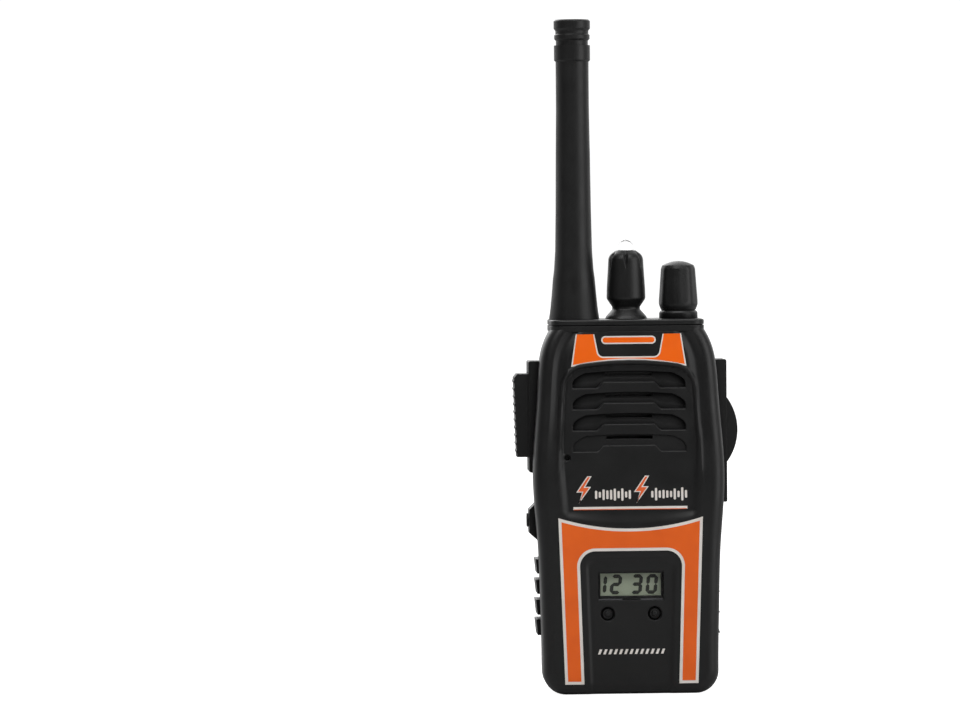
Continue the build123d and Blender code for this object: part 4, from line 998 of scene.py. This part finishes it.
def window_ledge(black, grey):
    """The ledge that the clock's window rests on, and the grey strips below its view."""
    outer, inner = rectangle(*LEDGE_OUTLINE), rectangle(*LEDGE_OPENING)
    front, back = LEDGE_Y
    section = ((outer, front), (inner, front), (inner, back), (outer, back))
    loops = [[(x, y, z) for x, z in outline] for outline, y in section]
    loops_piece("window_ledge", loops, black, closed=True)
    strips = [rectangle(x_limits, STRIPS_Z) for x_limits in STRIPS_X]
    plate("window_strips", strips, lambda z: front, lambda z: front - STRIP_THICKNESS, grey)


def microphone_cloth(material):
    """The disc of cloth in the microphone's hole."""
    front = lean_front(MIC_PLACE[1]) + PANEL_RECESS + MIC_CLOTH_DEPTH
    back = front + MIC_CLOTH_THICKNESS
    outline = circle(MIC_PLACE, MIC_CLOTH_R)
    plate("microphone_cloth", [outline], lambda z: back, lambda z: front, material)


# Stickers and printed marks

def outlines_of(node):
    """The outlines (x, z) in millimetres of the forward faces of a flat part."""
    shape = bmesh.new()
    shape.from_mesh(frame["nodes"][node].data)
    bmesh.ops.remove_doubles(shape, verts=shape.verts, dist=MERGE_DISTANCE)
    shape.normal_update()
    front = {face for face in shape.faces if face.normal.y < -0.9}
    after = {}
    for face in front:
        for loop in face.loops:
            others = [other for other in loop.edge.link_faces if other in front and other is not face]
            if not others:
                after[loop.vert.index] = loop.link_loop_next.vert.index
    shape.verts.ensure_lookup_table()
    outlines = []
    while after:
        start = min(after)
        chain = [start]
        while after[chain[-1]] != start:
            chain.append(after[chain[-1]])
        for index in chain:
            del after[index]
        outlines.append([(shape.verts[k].co.x / MM, shape.verts[k].co.z / MM) for k in chain])
    shape.free()
    return outlines


def inset(outline, distance):
    """The outline moved in along its corners' bisectors."""
    points = [Vector(point) for point in outline]
    area = sum(a.x * b.y - b.x * a.y for a, b in zip(points, points[1:] + points[:1]))
    sign = 1 if area > 0 else -1
    moved = []
    for k, point in enumerate(points):
        before = (point - points[k - 1]).normalized()
        after = (points[(k + 1) % len(points)] - point).normalized()
        normal_before = Vector((-before.y, before.x)) * sign
        normal_after = Vector((-after.y, after.x)) * sign
        bisector = normal_before + normal_after
        scale = 2 * distance / max(bisector.length_squared, 0.5)
        moved.append(tuple(point + bisector * scale))
    return moved


def open_at_top(outline, inner):
    """The inner outline taken up to the outer one's top edge."""
    top = max(z for x, z in outline)
    return [(x, top) if z > top - 2 * UPPER_BORDER else (x, z) for x, z in inner]


def bordered(node, border, recess, materials, face_slot="sticker_orange", face_material=None, open_span=1e9):
    """A sticker or mark in two layers: white, with the inner colour over it.

    An outline wider than open_span has no border along its top.
    """
    outlines = outlines_of(node)
    proud = recess - (STICKER_THICKNESS if recess == 0 else PRINT_THICKNESS)
    lower = plate(
        node + "_border", outlines, lambda z: lean_front(z) + recess, lambda z: lean_front(z) + proud,
        materials["print_white"],
    )
    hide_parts(node)
    inner = []
    for outline in outlines:
        width = max(x for x, z in outline) - min(x for x, z in outline)
        face = inset(outline, border)
        inner.append(open_at_top(outline, face) if width > open_span else face)
    plate(
        node + "_face", inner, lambda z: lean_front(z) + proud, lambda z: lean_front(z) + proud - FACE_PROUD,
        face_material or materials[face_slot],
    )


def rule_line(material):
    """The thin orange line along the bottom of the white rule."""
    outline = rectangle(*RULE_LINE)
    back = FRONT_Y + PANEL_RECESS - PRINT_THICKNESS
    plate("rule_line", [outline], lambda z: back, lambda z: back - FACE_PROUD, material)


# The clock's digits

def segment_outline(middle_x, middle_z, length, upright):
    """One long six-sided segment."""
    half, tip = length / 2, DIGIT_STROKE / 2
    flat = half - tip
    corners = [(-half, 0), (-flat, tip), (flat, tip), (half, 0), (flat, -tip), (-flat, -tip)]
    if upright:
        corners = [(b, a) for a, b in corners][::-1]
    return [(middle_x + a, middle_z + b) for a, b in corners]


def clock_digits(material):
    """The time on the display, in seven-segment digits."""
    width, height = DIGIT_SIZE
    outlines = []
    for digit, middle in zip(SHOWN_TIME, DIGIT_PLACES):
        for name in DIGITS[digit]:
            across, up, upright = SEGMENTS[name]
            middle_x = middle + across * (width - DIGIT_STROKE) / 2
            middle_z = DIGIT_MIDDLE_Z + up * (height - DIGIT_STROKE) / 4
            length = (height - DIGIT_STROKE) / 2 if upright else width - DIGIT_STROKE
            outline = segment_outline(middle_x, middle_z, length + SEGMENT_OVERLAP, upright)
            outlines.append([(x + DIGIT_LEAN * (z - DIGIT_MIDDLE_Z), z) for x, z in outline])
    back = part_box("clock_display")[0].y / MM
    front = back - DIGIT_THICKNESS
    plate("clock_digits", outlines, lambda z: back, lambda z: front, material)


# Camera, floor and lights

def place_camera():
    camera = bpy.data.cameras.new("camera")
    camera.lens = CAMERA_LENS
    camera.sensor_width = SENSOR_WIDTH
    camera.clip_end = 100.0
    view = bpy.data.objects.new("camera", camera)
    bpy.context.scene.collection.objects.link(view)
    forward = Vector((math.sin(CAMERA_TURN), math.cos(CAMERA_TURN), -math.tan(CAMERA_DIP))).normalized()
    right = forward.cross(Vector((0, 0, 1))).normalized()
    up = right.cross(forward)
    turned_right = right * math.cos(CAMERA_ROLL) - up * math.sin(CAMERA_ROLL)
    turned_up = up * math.cos(CAMERA_ROLL) + right * math.sin(CAMERA_ROLL)
    axes = Matrix((turned_right, turned_up, -forward)).transposed().to_4x4()
    view.matrix_world = Matrix.Translation(CAMERA_PLACE) @ axes
    bpy.context.scene.camera = view


def softbox(name, place, size, power):
    """A rectangular light that faces the object."""
    light = bpy.data.lights.new(name, "AREA")
    light.shape = "RECTANGLE"
    light.size, light.size_y = size
    light.energy = power
    box = bpy.data.objects.new(name, light)
    bpy.context.scene.collection.objects.link(box)
    box.location = place
    box.rotation_euler = (Vector(LIGHT_TARGET) - Vector(place)).to_track_quat("-Z", "Y").to_euler()


def backdrop(tree, strength=None):
    """A white background, plain where no strength is linked to it."""
    node = tree.nodes.new("ShaderNodeBackground")
    node.inputs["Color"].default_value = (1, 1, 1, 1)
    node.inputs["Strength"].default_value = BACKDROP_STRENGTH
    if strength is not None:
        tree.links.new(strength, node.inputs["Strength"])
    return node.outputs["Background"]


def mixed(tree, share, first, second):
    """Two shaders mixed: the first where the share is 0, the second where it is 1."""
    node = tree.nodes.new("ShaderNodeMixShader")
    for k, socket in enumerate((share, first, second)):
        tree.links.new(socket, node.inputs[k])
    return node.outputs["Shader"]


def light_studio():
    """The softboxes, and a world that is white to the camera, dim in front and brighter behind the object."""
    for name, settings in LIGHTS.items():
        softbox(name, *settings)
    world = bpy.data.worlds.new("studio")
    world.use_nodes = True
    tree = world.node_tree
    backward = coordinate(tree, place_in(tree, "Generated"), "Y")
    path = tree.nodes.new("ShaderNodeLightPath")
    fill = backdrop(tree, map_range(tree, backward, *WORLD_GLOW))
    behind = backdrop(tree, map_range(tree, backward, *BEHIND_GLOW))
    through = mixed(tree, path.outputs["Is Transmission Ray"], fill, behind)
    seen = mixed(tree, path.outputs["Is Camera Ray"], through, backdrop(tree))
    tree.links.new(seen, tree.nodes["World Output"].inputs["Surface"])
    bpy.context.scene.world = world
    bpy.context.scene.view_settings.view_transform = "Standard"
    bpy.context.scene.view_settings.look = "None"


def lay_floor():
    """The plain floor, which glows to the camera so that it meets the backdrop without a line."""
    mesh = bpy.data.meshes.new("floor")
    limits = (-FLOOR_REACH, FLOOR_REACH)
    corners = [(x, y, 0) for x, y in rectangle(limits, limits)]
    mesh.from_pydata(corners, [], [(0, 1, 2, 3)])
    floor = bpy.data.objects.new("floor", mesh)
    bpy.context.scene.collection.objects.link(floor)
    material = new_material("floor", (0.5, 0.5, 0.5), 0.9, Emission_Color=(1, 1, 1, 1))
    vary(material, ((0.49, 0.49, 0.49), (0.51, 0.51, 0.51)), None, 300.0)
    tree = material.node_tree
    path = tree.nodes.new("ShaderNodeLightPath")
    behind = map_range(tree, coordinate(tree, place_in(tree, "Object"), "Y"), *FLOOR_BEHIND_Y, 0.0, 1.0)
    through = arithmetic(tree, "MULTIPLY", path.outputs["Is Transmission Ray"], behind)
    seen = arithmetic(tree, "MAXIMUM", path.outputs["Is Camera Ray"], through)
    glow = arithmetic(tree, "MULTIPLY", seen, FLOOR_GLOW)
    tree.links.new(glow, tree.nodes["Principled BSDF"].inputs["Emission Strength"])
    mesh.materials.append(material)


def build():
    materials = make_materials()
    dress_nodes(materials)
    front_shell(materials["case_black"])
    bordered("lower_label", LOWER_BORDER, 0, materials)
    # The upper labels' faces take the lit copy of the sticker orange, which is painted light
    lit_orange = materials["lit_sticker_orange"]
    bordered("upper_labels", UPPER_BORDER, 0, materials, face_material=lit_orange, open_span=OPEN_LABEL_SPAN)
    bordered("bolt_marks", BOLT_BORDER, PANEL_RECESS, materials, "print_orange")
    rule_line(materials["print_orange"])
    clock_digits(materials["digit_ink"])
    volume_knob(materials["trim_black"])
    torch_knob(materials["trim_black"])
    clock_buttons(materials["button_black"])
    window_ledge(materials["case_black"], materials["strip_rubber"])
    microphone_cloth(materials["cloth_black"])
    frame["nodes"]["torch_led"].data.materials[0] = materials["led_lens"]
    place_camera()
    light_studio()
    lay_floor()


build()
